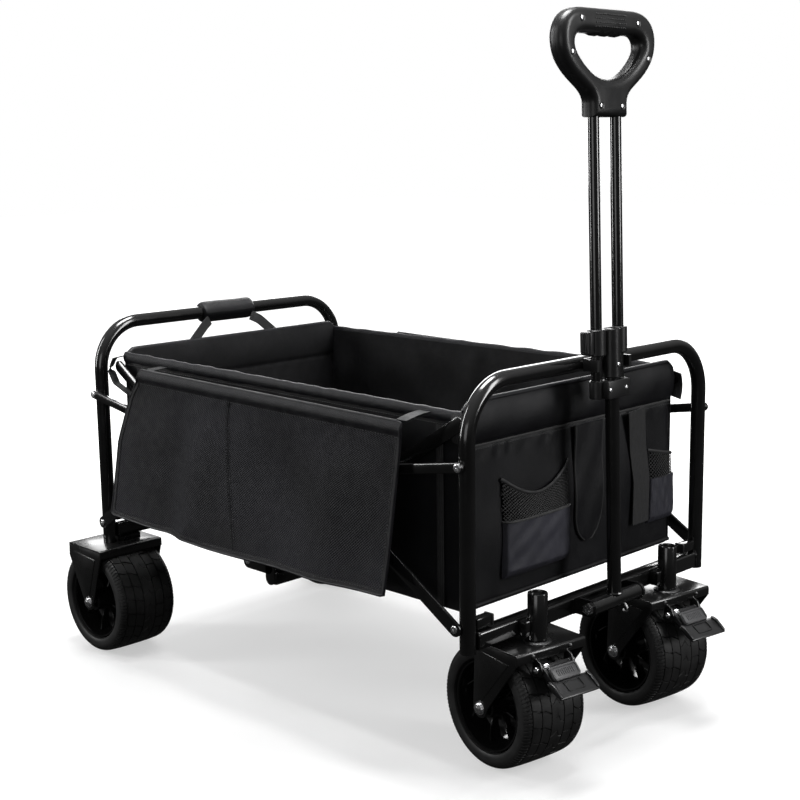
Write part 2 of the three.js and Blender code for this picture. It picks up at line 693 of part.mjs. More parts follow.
const FRONT_POCKETS = {
  right: [-168, -22, 18], // from, to and depth
  left: [112, 236, 13],
};
const POCKET_BOTTOM = 266;
const POCKET_TOP = 425;
for (const { side, sign } of SIDES) {
  const wall = polygon([
    [BASKET_REAR, BASKET_BOTTOM],
    [wallFront, BASKET_BOTTOM],
    [wallFront, SIDE_RIM],
    [BASKET_REAR, SIDE_RIM],
  ]);
  const inside = sign * (BASKET_HALF_WIDTH - PANEL);
  addPart(`basket_side_${side}`, slabY(wall, inside, sign * BASKET_HALF_WIDTH), oxford);

  // The cargo flap hangs outside the linkage and flares outwards to its hem.
  const flap = polygon([
    [sign * 288.5, 502],
    [sign * 316, 257],
    [sign * 320, 257],
    [sign * 294, 502],
  ]);
  addPart(`side_flap_${side}`, slabX(flap, -715, -98), meshCloth);

  const [pocketLow, pocketHigh, pocketDepth] = FRONT_POCKETS[side];
  const pocket = [
    [BASKET_FRONT + GAP, pocketLow, POCKET_BOTTOM],
    [BASKET_FRONT + pocketDepth, pocketHigh, POCKET_TOP],
  ];
  addPart(`front_pocket_${side}`, box(...pocket), oxford);
}

// A padded sleeve round the rear hoop's top bar, and the two straps that tie it to the rim.
const core = TUBE + GAP;
const sleeve = cut(
  rod([-HOOP_SPACING, -58, REAR_HOOP_TOP], [-HOOP_SPACING, 58, REAR_HOOP_TOP], 19, 20),
  rod([-HOOP_SPACING, -60, REAR_HOOP_TOP], [-HOOP_SPACING, 60, REAR_HOOP_TOP], core, 20),
);
addPart("rear_sleeve", sleeve, webbing);
for (const { side, sign } of SIDES) {
  const strap = polygon([
    [sign * 44, REAR_HOOP_TOP - 19.5],
    [sign * 100, BASKET_RIM - 22],
    [sign * 126, BASKET_RIM - 22],
    [sign * 62, REAR_HOOP_TOP - 19.5],
  ]);
  addPart(`rear_strap_${side}`, slabX(strap, BASKET_REAR - 12, BASKET_REAR - GAP), webbing);
}

export default wagon;
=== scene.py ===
"""Looks for the folding camp wagon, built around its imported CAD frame."""

import json
import math

import bmesh
import bpy
import numpy as np
from mathutils import Matrix, Vector

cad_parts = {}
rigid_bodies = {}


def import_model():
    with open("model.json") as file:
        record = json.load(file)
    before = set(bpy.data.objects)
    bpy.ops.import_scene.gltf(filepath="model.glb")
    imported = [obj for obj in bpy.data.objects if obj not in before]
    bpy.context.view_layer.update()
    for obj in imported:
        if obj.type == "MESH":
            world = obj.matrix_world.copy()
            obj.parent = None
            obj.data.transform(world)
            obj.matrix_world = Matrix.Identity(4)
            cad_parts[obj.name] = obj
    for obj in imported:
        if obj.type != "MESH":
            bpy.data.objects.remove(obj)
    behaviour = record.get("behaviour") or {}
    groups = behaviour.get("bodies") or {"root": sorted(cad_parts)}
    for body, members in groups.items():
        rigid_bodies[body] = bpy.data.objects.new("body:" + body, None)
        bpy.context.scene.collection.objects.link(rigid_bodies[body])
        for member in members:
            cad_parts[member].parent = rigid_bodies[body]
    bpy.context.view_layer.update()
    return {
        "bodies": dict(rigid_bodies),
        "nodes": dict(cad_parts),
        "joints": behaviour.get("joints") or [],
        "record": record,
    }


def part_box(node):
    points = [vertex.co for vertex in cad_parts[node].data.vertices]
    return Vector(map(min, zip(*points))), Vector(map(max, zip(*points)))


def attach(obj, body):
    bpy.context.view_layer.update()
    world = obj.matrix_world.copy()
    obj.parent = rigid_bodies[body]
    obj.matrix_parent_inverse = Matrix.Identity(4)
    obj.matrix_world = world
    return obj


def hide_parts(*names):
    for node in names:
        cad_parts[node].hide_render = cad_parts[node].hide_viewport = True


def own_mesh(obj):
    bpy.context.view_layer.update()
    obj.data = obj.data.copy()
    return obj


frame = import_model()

MM = 0.001
TUBE = 11  # radius of the hoops' round tube


# ---- places, in millimetres from the front hoop's plane, the middle and the ground ----
def middle(node):
    low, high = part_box(node)
    return (low + high) / 2


FRONT_X = middle("front_hoop").x
HOOP_SPACING = (middle("front_hoop").x - middle("rear_hoop").x) / MM
REAR = -HOOP_SPACING
CENTRE = -HOOP_SPACING / 2
HOOP_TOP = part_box("front_hoop")[1].z / MM - TUBE
REAR_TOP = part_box("rear_hoop")[1].z / MM - TUBE
UPRIGHT_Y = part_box("front_hoop")[1].y / MM - TUBE
WHEEL_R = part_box("rear_tyre_left")[1].z / MM / 2
SIDES = (("right", -1), ("left", 1))


def to_frame(points):
    """Wagon millimetres to the frame's metres."""
    out = np.asarray(points, float) * MM
    out[:, 0] += FRONT_X
    return out


def wagon_place(x, y, z, turn=0.0):
    """The matrix that puts a piece made about its own origin at a place on the wagon."""
    where = Vector((FRONT_X + x * MM, y * MM, z * MM))
    return Matrix.Translation(where) @ Matrix.Rotation(turn, 4, "Z")


# ---- node materials ----
class Nodes:
    """A material being built; every texture is in object space, in metres."""

    def __init__(self, name, colour, rough, metal=0.0, **sockets):
        self.material = bpy.data.materials.new(name)
        self.material.use_nodes = True
        self.tree = self.material.node_tree
        self.shader = self.tree.nodes["Principled BSDF"]
        self.shader.inputs["Base Color"].default_value = (*colour, 1)
        self.shader.inputs["Roughness"].default_value = rough
        self.shader.inputs["Metallic"].default_value = metal
        for key, value in sockets.items():
            self.shader.inputs[key.replace("_", " ")].default_value = value
        self.space = self.node("ShaderNodeTexCoord").outputs["Object"]
        self.last_bump = None

    def node(self, kind, **settings):
        made = self.tree.nodes.new(kind)
        for key, value in settings.items():
            setattr(made, key, value)
        return made

    def link(self, source, target):
        self.tree.links.new(source, target)

    def attribute(self, name):
        return self.node("ShaderNodeAttribute", attribute_name=name).outputs["Vector"]

    def noise(self, scale, detail=3.0, rough=0.55):
        made = self.node("ShaderNodeTexNoise")
        made.inputs["Scale"].default_value = scale
        made.inputs["Detail"].default_value = detail
        made.inputs["Roughness"].default_value = rough
        self.link(self.space, made.inputs["Vector"])
        return made.outputs["Fac"]

    def maths(self, operation, one, two=None, three=None):
        made = self.node("ShaderNodeMath", operation=operation)
        for socket, value in zip(made.inputs, (one, two, three)):
            if value is None:
                continue
            if isinstance(value, (int, float)):
                socket.default_value = value
            else:
                self.link(value, socket)
        return made.outputs[0]

    def span(self, value, low, high, to_low=0.0, to_high=1.0):
        made = self.node("ShaderNodeMapRange")
        made.inputs["From Min"].default_value = low
        made.inputs["From Max"].default_value = high
        made.inputs["To Min"].default_value = to_low
        made.inputs["To Max"].default_value = to_high
        self.link(value, made.inputs["Value"])
        return made.outputs["Result"]

    def split(self, vector):
        made = self.node("ShaderNodeSeparateXYZ")
        self.link(vector, made.inputs[0])
        return made.outputs[0], made.outputs[1], made.outputs[2]

    def tint(self, fac, dark, light):
        """Base colour from dark to light by a 0 to 1 value."""
        mix = self.node("ShaderNodeMix", data_type="RGBA")
        mix.inputs[6].default_value = (*dark, 1)
        mix.inputs[7].default_value = (*light, 1)
        self.link(fac, mix.inputs[0])
        self.link(mix.outputs[2], self.shader.inputs["Base Color"])

    def gloss(self, fac, low, high):
        self.link(self.span(fac, 0.25, 0.75, low, high), self.shader.inputs["Roughness"])

    def bump(self, height, distance_mm, strength=1.0):
        made = self.node("ShaderNodeBump")
        made.inputs["Strength"].default_value = strength
        made.inputs["Distance"].default_value = distance_mm * MM
        self.link(height, made.inputs["Height"])
        if self.last_bump:
            self.link(self.last_bump, made.inputs["Normal"])
        self.last_bump = made.outputs["Normal"]
        self.link(self.last_bump, self.shader.inputs["Normal"])


def grey(value, blue=1.0):
    return (value, value, value * blue)


def paint(name, base, rough, coat):
    """Powder coat: fine orange peel, faint dust in the gloss."""
    m = Nodes(name, grey(base), rough, Coat_Weight=coat, Coat_Roughness=0.12)
    wide = m.noise(9, 4)
    m.tint(m.span(wide, 0.35, 0.7), grey(base * 0.75), grey(base * 1.5, 1.03))
    m.gloss(m.noise(26, 5), rough * 0.75, rough * 1.35)
    m.bump(m.noise(650, 2), 0.035, 0.5)
    return m.material


def moulded(name, base, rough, grain, depth):
    """Moulded plastic with a fine spark-eroded grain."""
    m = Nodes(name, grey(base, 1.06), rough)
    m.tint(m.span(m.noise(14, 4), 0.3, 0.72), grey(base * 0.8), grey(base * 1.3, 1.06))
    m.gloss(m.noise(40, 4), rough * 0.85, rough * 1.2)
    m.bump(m.noise(grain, 3), depth, 0.6)
    return m.material


def bare_metal(name, base, rough):
    m = Nodes(name, grey(base), rough, metal=1.0)
    m.tint(m.span(m.noise(180, 4), 0.3, 0.75), grey(base * 0.72), grey(min(1, base * 1.12), 1.02))
    m.gloss(m.noise(420, 4), rough * 0.7, rough * 1.6)
    m.bump(m.noise(900, 2), 0.02, 0.4)
    return m.material


def rubber():
    m = Nodes("tyre_rubber", grey(0.007), 0.46)
    dust = m.noise(17, 5)
    m.tint(m.span(dust, 0.38, 0.75), grey(0.004), grey(0.013, 1.02))
    m.gloss(m.noise(60, 4), 0.4, 0.66)
    m.bump(m.noise(700, 3), 0.06, 0.5)
    return m.material


def cloth_wrinkles(m, strength):
    """Slow unevenness of tensioned cloth."""
    m.bump(m.noise(7, 3, 0.45), 6.0, 0.16 * strength)
    m.bump(m.noise(34, 3, 0.5), 1.2, 0.25 * strength)


def oxford(name, base, pitch_mm=0.9, wrinkles=1.0, rough=0.5, shine=0.3):
    """Plain-woven oxford cloth; the cloth attribute runs along its threads in metres."""
    m = Nodes(name, grey(base, 1.3), rough, Specular_IOR_Level=shine)
    u, v, _ = m.split(m.attribute("cloth"))
    turns = 2 * math.pi / (pitch_mm * MM)
    warp = m.maths("SINE", m.maths("MULTIPLY", u, turns))
    weft = m.maths("SINE", m.maths("MULTIPLY", v, turns))
    weave = m.span(m.maths("MULTIPLY", warp, weft), -1, 1)
    wear = m.maths("MULTIPLY_ADD", weave, 0.35, m.noise(11, 5, 0.6))
    m.tint(m.span(wear, 0.35, 1.0), grey(base * 0.62, 1.25), grey(base * 1.55, 1.3))
    m.gloss(m.noise(45, 4), rough * 0.85, rough * 1.2)
    cloth_wrinkles(m, wrinkles)
    m.bump(weave, 0.12, 0.8)
    return m.material


def twill_mesh(name, base):
    """Open mesh cloth: staggered diagonal cells, dark where they are open as painted shade and light on the
    threads as painted highlight.
    """
    m = Nodes(name, grey(base, 1.3), 0.62, Sheen_Weight=0.01, Sheen_Roughness=0.4, Specular_IOR_Level=0.3)
    u, v, _ = m.split(m.attribute("cloth"))
    turns = 2 * math.pi / (4.4 * MM)
    one = m.maths("SINE", m.maths("MULTIPLY", m.maths("ADD", u, v), turns))
    two = m.maths("SINE", m.maths("MULTIPLY", m.maths("SUBTRACT", u, v), turns * 0.72))
    cells = m.span(m.maths("ADD", m.maths("MULTIPLY", one, 0.62), m.maths("MULTIPLY", two, 0.5)), -0.7, 0.75)
    # wide: a broad noise that paints the light and shade of the flap's folds into its colour.
    wide = m.span(m.noise(4.2, 2, 0.5), 0.34, 0.66, 0.28, 1.25)
    # Colour: the mesh pattern with painted shade in its open cells and painted highlight on its threads,
    # times the painted fold light and shade.
    m.tint(m.maths("MULTIPLY", cells, wide), grey(base * 0.1, 1.3), grey(base * 4.2, 1.3))
    m.gloss(m.noise(70, 3), 0.52, 0.78)
    cloth_wrinkles(m, 1.0)
    m.bump(cells, 0.9, 1.0)
    return m.material


def webbing_cloth(name, base, pitch_mm):
    """Ribbed polyester webbing; ribs run across the strap."""
    m = Nodes(name, grey(base, 1.08), 0.66, Sheen_Weight=0.05, Sheen_Roughness=0.4)
    along, side, _ = m.split(m.attribute("cloth"))
    ribs = m.maths("SINE", m.maths("MULTIPLY", along, 2 * math.pi / (pitch_mm * MM)))
    cords = m.maths("SINE", m.maths("MULTIPLY", side, 2 * math.pi / (1.3 * MM)))
    height = m.span(m.maths("MULTIPLY_ADD", cords, 0.25, ribs), -1.1, 1.1)
    wear = m.span(m.noise(25, 4), 0.2, 0.8, 0.6, 1.2)
    m.tint(m.maths("MULTIPLY", height, wear), grey(base * 0.4), grey(base * 1.7, 1.08))
    m.gloss(m.noise(90, 3), 0.55, 0.8)
    m.bump(height, 0.4, 0.9)
    return m.material


def thread_cord(name, base):
    m = Nodes(name, grey(base, 1.05), 0.6, Sheen_Weight=0.2)
    m.tint(m.span(m.noise(300, 3), 0.3, 0.7), grey(base * 0.6), grey(base * 1.5, 1.05))
    m.gloss(m.noise(200, 2), 0.5, 0.75)
    m.bump(m.noise(1500, 2), 0.08, 0.7)
    return m.material


powder = paint("powder_coat_black", 0.0045, 0.16, 0.6)
fork_paint = paint("powder_coat_fork", 0.005, 0.28, 0.35)
zinc = bare_metal("zinc_rivet", 0.8, 0.22)
dark_steel = bare_metal("blackened_steel", 0.12, 0.35)
satin = moulded("satin_plastic", 0.009, 0.34, 900, 0.05)
grip_plastic = moulded("grip_plastic", 0.009, 0.34, 1100, 0.06)
pedal_plastic = moulded("pedal_plastic", 0.014, 0.3, 800, 0.04)
tab_plastic = moulded("tab_plastic", 0.045, 0.36, 800, 0.05)
rim_plastic = moulded("rim_plastic", 0.004, 0.14, 500, 0.02)
tyre_rubber = rubber()
body_cloth = oxford("oxford_body", 0.0034, rough=0.46, shine=0.26)
pouch_cloth = oxford("oxford_pouch", 0.032, wrinkles=0.5, rough=0.5)
inner_cloth = oxford("oxford_lining", 0.0026, rough=0.62)
hem_cloth = oxford("oxford_hem", 0.0055, 0.7, 1.3, 0.42)
piping_cloth = thread_cord("piping_cord", 0.007)
stitch_thread = thread_cord("stitch_thread", 0.014)
flap_mesh = twill_mesh("twill_mesh", 0.0062)
strap_cloth = webbing_cloth("webbing_black", 0.01, 3.4)
net_cord = thread_cord("net_cord", 0.012)
# Painted shade: a near-black cloth for the insides of the pockets, behind their nets.
pocket_shade_cloth = oxford("oxford_shadow", 0.0008, rough=0.95, shine=0.02)


# ---- mesh building ----
def join_rings(bm, rings, loop=False):
    """Faces from each ring of corners to the next, and in a loop from the last to the first."""
    for one, two in zip(rings, rings[1:] + (rings[:1] if loop else [])):
        for i in range(len(one)):
            j = (i + 1) % len(one)
            bm.faces.new((one[i], one[j], two[j], two[i]))


def face_outward(mesh):
    """Turns a closed mesh's faces outward."""
    bm = bmesh.new()
    bm.from_mesh(mesh)
    bmesh.ops.recalc_face_normals(bm, faces=bm.faces)
    bm.to_mesh(mesh)
    bm.free()
    return mesh


class Solid:
    """Collects closed shapes, in millimetres, and turns them into one piece."""

    def __init__(self):
        self.bm = bmesh.new()

    def take(self, bm, matrix=None, material=0):
        """Adds bm's shapes, moved by a matrix, and frees bm."""
        if matrix is not None:
            bmesh.ops.transform(bm, matrix=matrix, verts=bm.verts)
        if material:
            for face in bm.faces:
                face.material_index = material
        spare = bpy.data.meshes.new("spare")
        bm.to_mesh(spare)
        bm.free()
        self.bm.from_mesh(spare)
        bpy.data.meshes.remove(spare)
        return self

    def prism(self, outline, low, high, axis="z", bevel=0.0, segments=2, material=0, matrix=None):
        """An outline extruded along an axis. y: the outline is (x, z); z: (x, y)."""
        bm = bmesh.new()
        order = {"y": (0, 2, 1), "z": (0, 1, 2)}[axis]

        def place(a, b, c):
            local = (a, b, c)
            return [local[i] for i in order]

        ends = [[bm.verts.new(place(a, b, c)) for a, b in outline] for c in (low, high)]
        count = len(outline)
        bm.faces.new(ends[0])
        bm.faces.new(ends[1][::-1])
        for i in range(count):
            j = (i + 1) % count
            bm.faces.new((ends[0][i], ends[1][i], ends[1][j], ends[0][j]))
        bmesh.ops.recalc_face_normals(bm, faces=bm.faces)
        if bevel:
            round_edges(bm, bevel, segments)
        return self.take(bm, matrix, material)

    def block(self, low, high, bevel=0.0, segments=2, material=0, matrix=None):
        outline = [(low[0], low[1]), (high[0], low[1]), (high[0], high[1]), (low[0], high[1])]
        return self.prism(outline, low[2], high[2], "z", bevel, segments, material, matrix)

    def lathe(self, profile, sides=32, matrix=None, material=0):
        """A profile of (radius, height) turned about Z; a radius of 0 closes an end."""
        bm = bmesh.new()
        rings = []
        for radius, height in profile:
            if radius <= 0:
                rings.append([bm.verts.new((0, 0, height))])
                continue
            ring = []
            for i in range(sides):
                a = 2 * math.pi * i / sides
                ring.append(bm.verts.new((radius * math.cos(a), radius * math.sin(a), height)))
            rings.append(ring)
        pairs = list(zip(rings, rings[1:]))
        if profile[0][0] > 0 and profile[-1][0] > 0:
            pairs.append((rings[-1], rings[0]))
        for one, two in pairs:
            for i in range(sides):
                j = (i + 1) % sides
                corners = [one[i % len(one)], one[j % len(one)], two[j % len(two)], two[i % len(two)]]
                unique = list(dict.fromkeys(corners))
                if len(unique) > 2:
                    bm.faces.new(unique)
        bmesh.ops.recalc_face_normals(bm, faces=bm.faces)
        return self.take(bm, matrix, material)

    def sweep(self, path, section, frames=None, material=0):
        """A closed section, a list of (side, up), carried along a path of points."""
        bm = bmesh.new()
        points = [Vector(p) for p in path]
        frames = frames or path_frames(points)
        rings = []
        for point, (side, up) in zip(points, frames):
            rings.append([bm.verts.new(point + side * a + up * b) for a, b in section])
        join_rings(bm, rings)
        bm.faces.new(rings[0][::-1])
        bm.faces.new(rings[-1])
        bmesh.ops.recalc_face_normals(bm, faces=bm.faces)
        return self.take(bm, material=material)

    def mesh(self, name, forward=0.0):
        """The collected shapes as one mesh in metres."""
        made = bpy.data.meshes.new(name)
        bmesh.ops.scale(self.bm, vec=(MM, MM, MM), verts=self.bm.verts)
        bmesh.ops.translate(self.bm, vec=(forward, 0, 0), verts=self.bm.verts)
        self.bm.to_mesh(made)
        self.bm.free()
        return made

    def build(self, name, materials, body, replaces=(), slot=None, place=None, sharp=35):
        mesh = self.mesh(name, FRONT_X if place is None else 0.0)
        return finish_piece(name, mesh, materials, body, replaces, place, sharp)


def finish_piece(name, mesh, materials, body, replaces=(), place=None, sharp=35):
    """Shades a mesh, gives it its materials and puts it on its body."""
    for made in materials:
        mesh.materials.append(made)
    mesh.shade_smooth()
    mesh.set_sharp_from_angle(angle=math.radians(sharp))
    piece = bpy.data.objects.new(name, mesh)
    bpy.context.scene.collection.objects.link(piece)
    if place is not None:
        piece.matrix_world = place
    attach(piece, body)
    if replaces:
        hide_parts(*replaces)
    return piece


def round_edges(bm, width, segments):
    sharp = math.radians(25)
    edges = [e for e in bm.edges if len(e.link_faces) == 2 and e.calc_face_angle(0) > sharp]
    bmesh.ops.bevel(
        bm, geom=edges, offset=width, segments=segments, profile=0.5, affect="EDGES", clamp_overlap=True
    )


def path_frames(points):
    """Side and up directions along a path, carried without twisting."""
    frames = []
    up = None
    for i in range(len(points)):
        before = points[max(i - 1, 0)]
        after = points[min(i + 1, len(points) - 1)]
        along = (after - before).normalized()
        if up is None:
            up = Vector((0, 0, 1)) if abs(along.z) < 0.9 else Vector((1, 0, 0))
        up = (up - along * up.dot(along)).normalized()
        frames.append((along.cross(up).normalized(), up.copy()))
    return frames


def circle(radius, sides=12):
    return [
        (radius * math.cos(2 * math.pi * i / sides), radius * math.sin(2 * math.pi * i / sides))
        for i in range(sides)
    ]


def rounded_box(half_w, half_h, radius, steps=4):
    """The outline of a rectangle with round corners."""
    out = []
    for k, (sx, sy) in enumerate(((1, 1), (-1, 1), (-1, -1), (1, -1))):
        for i in range(steps + 1):
            a = math.pi / 2 * (k + i / steps)
            x = sx * (half_w - radius) + radius * math.cos(a)
            y = sy * (half_h - radius) + radius * math.sin(a)
            out.append((x, y))
    return out


def bar_outline(start, end, half):
    """A flat bar with round ends between two points."""
    steps = 10
    lean = math.atan2(end[1] - start[1], end[0] - start[0])
    out = []
    for centre, first in ((end, lean - math.pi / 2), (start, lean + math.pi / 2)):
        for i in range(steps + 1):
            a = first + math.pi * i / steps
            out.append((centre[0] + half * math.cos(a), centre[1] + half * math.sin(a)))
    return out


def along_y(x, y, z, sign=1):
    """Turns a lathe's +Z to the wagon's +Y or -Y, at a place in millimetres."""
    return Matrix.Translation((x, y, z)) @ Matrix.Rotation(-sign * math.pi / 2, 4, "X")


def along_x(x, y, z):
    """Turns a lathe's +Z to the wagon's +X, at a place in millimetres."""
    return Matrix.Translation((x, y, z)) @ Matrix.Rotation(math.pi / 2, 4, "Y")


def rivet_profile(radius, height):
    """A hollow rivet's head, with a small dimple."""
    dimple = radius * 0.32
    return [
        (0, height * 0.35),
        (dimple * 0.8, height * 0.35),
        (dimple, height * 0.9),
        (radius * 0.62, height),
        (radius * 0.9, height * 0.72),
        (radius, height * 0.3),
        (radius, 0),
        (0, 0),
    ]


# ---- cloth building ----
def waves(u, v, seed, count=7, low=1.0, high=5.0):
    """A smooth uneven height, about -1 to 1, from a few seeded waves."""
    rng = np.random.RandomState(seed)
    total = np.zeros_like(u)
    for _ in range(count):
        turn = rng.uniform(0, 2 * math.pi)
        rate = rng.uniform(low, high) * 2 * math.pi
        phase = rng.uniform(0, 2 * math.pi)
        total += np.sin(rate * (u * math.cos(turn) + v * math.sin(turn)) + phase)
    return total / math.sqrt(count)


def smooth_step(value, low, high):
    t = np.clip((value - low) / (high - low), 0, 1)
    return t * t * (3 - 2 * t)


def bulge(value, centre, width):
    return np.exp(-(((value - centre) / width) ** 2))


def sheet_mesh(name, shape, columns, rows, thick=0.0):
    """A grid of cloth from shape(u, v) -> (x, y, z) in wagon millimetres, with its cloth attribute.
    A thickness closes it with a second layer behind and an edge all round."""
    u, v = np.meshgrid(np.linspace(0, 1, columns), np.linspace(0, 1, rows))
    grid = np.stack(shape(u, v), axis=-1)
    du = np.gradient(grid, axis=1)
    dv = np.gradient(grid, axis=0)
    steps_u = np.linalg.norm(np.diff(grid, axis=1), axis=2)
    steps_v = np.linalg.norm(np.diff(grid, axis=0), axis=2)
    run_u = np.concatenate([np.zeros((rows, 1)), np.cumsum(steps_u, axis=1)], axis=1)
    run_v = np.concatenate([np.zeros((1, columns)), np.cumsum(steps_v, axis=0)], axis=0)
    cloth = np.stack([run_u, run_v, np.zeros_like(run_u)], axis=-1).reshape(-1, 3) * MM
    points = grid.reshape(-1, 3)
    index = np.arange(rows * columns).reshape(rows, columns)
    a, b = index[:-1, :-1].ravel(), index[:-1, 1:].ravel()
    c, d = index[1:, 1:].ravel(), index[1:, :-1].ravel()
    faces = np.stack([a, d, c, b], axis=1).tolist()
    if thick:
        normal = np.cross(du, dv)
        normal /= np.linalg.norm(normal, axis=2, keepdims=True) + 1e-12
        back = (grid + normal * thick).reshape(-1, 3)
        shift = rows * columns
        faces += [[p + shift for p in f[::-1]] for f in faces]
        border = list(index[0]) + list(index[1:, -1]) + list(index[-1, -2::-1]) + list(index[-2:0:-1, 0])
        for i, p in enumerate(border):
            q = border[(i + 1) % len(border)]
            faces.append([int(p), int(q), int(q + shift), int(p + shift)])
        points = np.concatenate([points, back])
        cloth = np.concatenate([cloth, cloth])
    mesh = bpy.data.meshes.new(name)
    mesh.from_pydata(to_frame(points).tolist(), [], faces)
    layer = mesh.attributes.new("cloth", "FLOAT_VECTOR", "POINT")
    layer.data.foreach_set("vector", cloth.astype(np.float32).ravel())
    mesh.update()
    return face_outward(mesh)


def squash_with_fold(piece):
    """Gives a cloth piece its own copy of its mesh."""
    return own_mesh(piece)


def cloth_piece(name, mesh, material, body, replaces=(), fold=False):
    piece = finish_piece(name, mesh, [material], body, replaces, sharp=60)
    if fold:
        squash_with_fold(piece)
    return piece


def sheet_piece(name, shape, size, thick, material, body, replaces=(), slot="basket_fabric", fold=False):
    """A piece of cloth from its shape; size is its grid's columns and rows."""
    mesh = sheet_mesh(name, shape, *size, thick)
    return cloth_piece(name, mesh, material, body, replaces, fold)


def line_on(shape, us, vs):
    """A line on a sheet's shape, as a list of points."""
    return list(zip(*[np.ravel(c).tolist() for c in shape(us, vs)]))


SWELL_FRAMES = 20


def swell(piece, pressure, cap_mm, held):
    """Fill a closed padded piece as cloth under pressure, held at its seams, capped in how far it goes."""
    rest = np.empty(len(piece.data.vertices) * 3)
    piece.data.vertices.foreach_get("co", rest)
    points = rest.reshape(-1, 3) / MM
    pins = piece.vertex_groups.new(name="held")
    pins.add(np.flatnonzero(held(points[:, 0] - FRONT_X / MM, points[:, 1])).tolist(), 1.0, "REPLACE")
    cloth = piece.modifiers.new("swell", "CLOTH")
    cloth.settings.vertex_group_mass = pins.name
    cloth.settings.use_pressure = True
    cloth.settings.uniform_pressure_force = pressure
    cloth.settings.effector_weights.gravity = 0.0
    cloth.collision_settings.use_collision = False
    cloth.point_cache.frame_start = 1
    cloth.point_cache.frame_end = SWELL_FRAMES
    for frame in range(1, SWELL_FRAMES + 1):
        bpy.context.scene.frame_set(frame)
    shown = piece.evaluated_get(bpy.context.evaluated_depsgraph_get())
    filled = np.empty(len(shown.data.vertices) * 3)
    shown.data.vertices.foreach_get("co", filled)
    piece.modifiers.remove(cloth)
    piece.vertex_groups.remove(pins)
    bpy.context.scene.frame_set(1)
    move = (filled - rest).reshape(-1, 3)
    length = np.linalg.norm(move, axis=1, keepdims=True) + 1e-12
    move *= np.minimum(1.0, cap_mm * MM / length)
    piece.data.vertices.foreach_set("co", (rest.reshape(-1, 3) + move).ravel())
    piece.data.update()


def resample(path, step):
    """Points every step millimetres or so along a path."""
    points = np.asarray(path, float)
    runs = np.concatenate([[0], np.cumsum(np.linalg.norm(np.diff(points, axis=0), axis=1))])
    count = max(2, int(round(runs[-1] / step)) + 1)
    at = np.linspace(0, runs[-1], count)
    return np.stack([np.interp(at, runs, points[:, k]) for k in range(3)], axis=1)


def piping(name, path, radius, body, fold=False, material=None, slot="basket_fabric", flat=1.0):
    """A round or flattened cord sewn along an edge."""
    solid = Solid()
    section = [(a * flat, b) for a, b in circle(radius, 8)]
    solid.sweep([tuple(p) for p in resample(path, 9)], section)
    piece = solid.build(name, [material or piping_cloth], body, slot=slot, sharp=60)
    if fold:
        squash_with_fold(piece)
    return piece


STITCH_LONG, STITCH_GAP, STITCH_HALF = 3.4, 1.6, 0.42


def stitches(name, paths, body, fold=False, outward=(0, 0, 0)):
    """Rows of short raised stitches along paths, lifted by outward."""
    points, faces = [], []
    lift = np.array(outward, float)
    for path in paths:
        run = resample(path, STITCH_LONG + STITCH_GAP)
        for one, two in zip(run[:-1], run[1:]):
            along = two - one
            size = np.linalg.norm(along)
            if size < 1e-6:
                continue
            along = along / size
            side = np.cross(along, lift if np.linalg.norm(lift) else (0, 0, 1))
            side = side / (np.linalg.norm(side) + 1e-9) * STITCH_HALF
            up = np.cross(side, along)
            up = up / (np.linalg.norm(up) + 1e-9) * STITCH_HALF
            start = one + lift
            first = len(points)
            for t, grow in ((0.0, 0.35), (0.2, 1.0), (0.8, 1.0), (1.0, 0.35)):
                centre = start + along * (t * STITCH_LONG)
                for s, k in ((1, 0), (0, 1), (-1, 0), (0, -1)):
                    points.append(centre + side * s * grow + up * k * grow)
            for ring in range(3):
                for i in range(4):
                    j = (i + 1) % 4
                    base = first + 4 * ring
                    faces.append([base + i, base + j, base + 4 + j, base + 4 + i])
            faces.append([first + i for i in (3, 2, 1, 0)])
            faces.append([first + 12 + i for i in range(4)])
    mesh = bpy.data.meshes.new(name)
    mesh.from_pydata(to_frame(points).tolist(), [], faces)
    mesh.update()
    piece = finish_piece(name, mesh, [stitch_thread], body, sharp=80)
    if fold:
        squash_with_fold(piece)
    return piece


# ---- the basket walls' setback behind the hoops ----
WALL_SETBACK = 30  # basket wall behind its hoop's plane


# ---- hoops and cross bars ----
def hoop_path(x, foot, top):
    """Up one side, round the top and down the other, with true quarter bends."""
    bend = 76
    spring = top - bend
    flat = UPRIGHT_Y - bend
    points = [(x, -UPRIGHT_Y, z) for z in (foot, foot + 1.5, spring - 120, spring - 4)]
    for i in range(15):
        a = math.pi - math.pi / 2 * i / 14
        points.append((x, -flat + bend * math.cos(a), spring + bend * math.sin(a)))
    points += [(x, y, top) for y in (-flat / 2, 0, flat / 2)]
    for i in range(15):
        a = math.pi / 2 - math.pi / 2 * i / 14
        points.append((x, flat + bend * math.cos(a), spring + bend * math.sin(a)))
    return points + [(x, UPRIGHT_Y, z) for z in (spring - 4, spring - 120, foot + 1.5, foot)]


def hoop(name, x, body, top):
    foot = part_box(name)[0].z / MM
    path = hoop_path(x, foot, top)
    points = [Vector(p) for p in path]
    frames = []
    for i in range(len(points)):
        along = (points[min(i + 1, len(points) - 1)] - points[max(i - 1, 0)]).normalized()
        frames.append((Vector((1, 0, 0)), Vector((1, 0, 0)).cross(along)))
    solid = Solid()
    solid.sweep(path, circle(TUBE, 32), frames)
    return solid.build(name + "_tube", [powder], body, [name], "powder_coat")


def weld(solid, path, radius=1.6):
    """A slightly lumpy bead of weld along a path."""
    points = resample(path, 2.2)
    frames = path_frames([Vector(p) for p in points])
    bead = []
    for i, p in enumerate(points):
        lump = 0.25 * math.sin(i * 2.1)
        bead.append(Vector(p) + frames[i][1] * lump)
    solid.sweep(bead, circle(radius, 6))


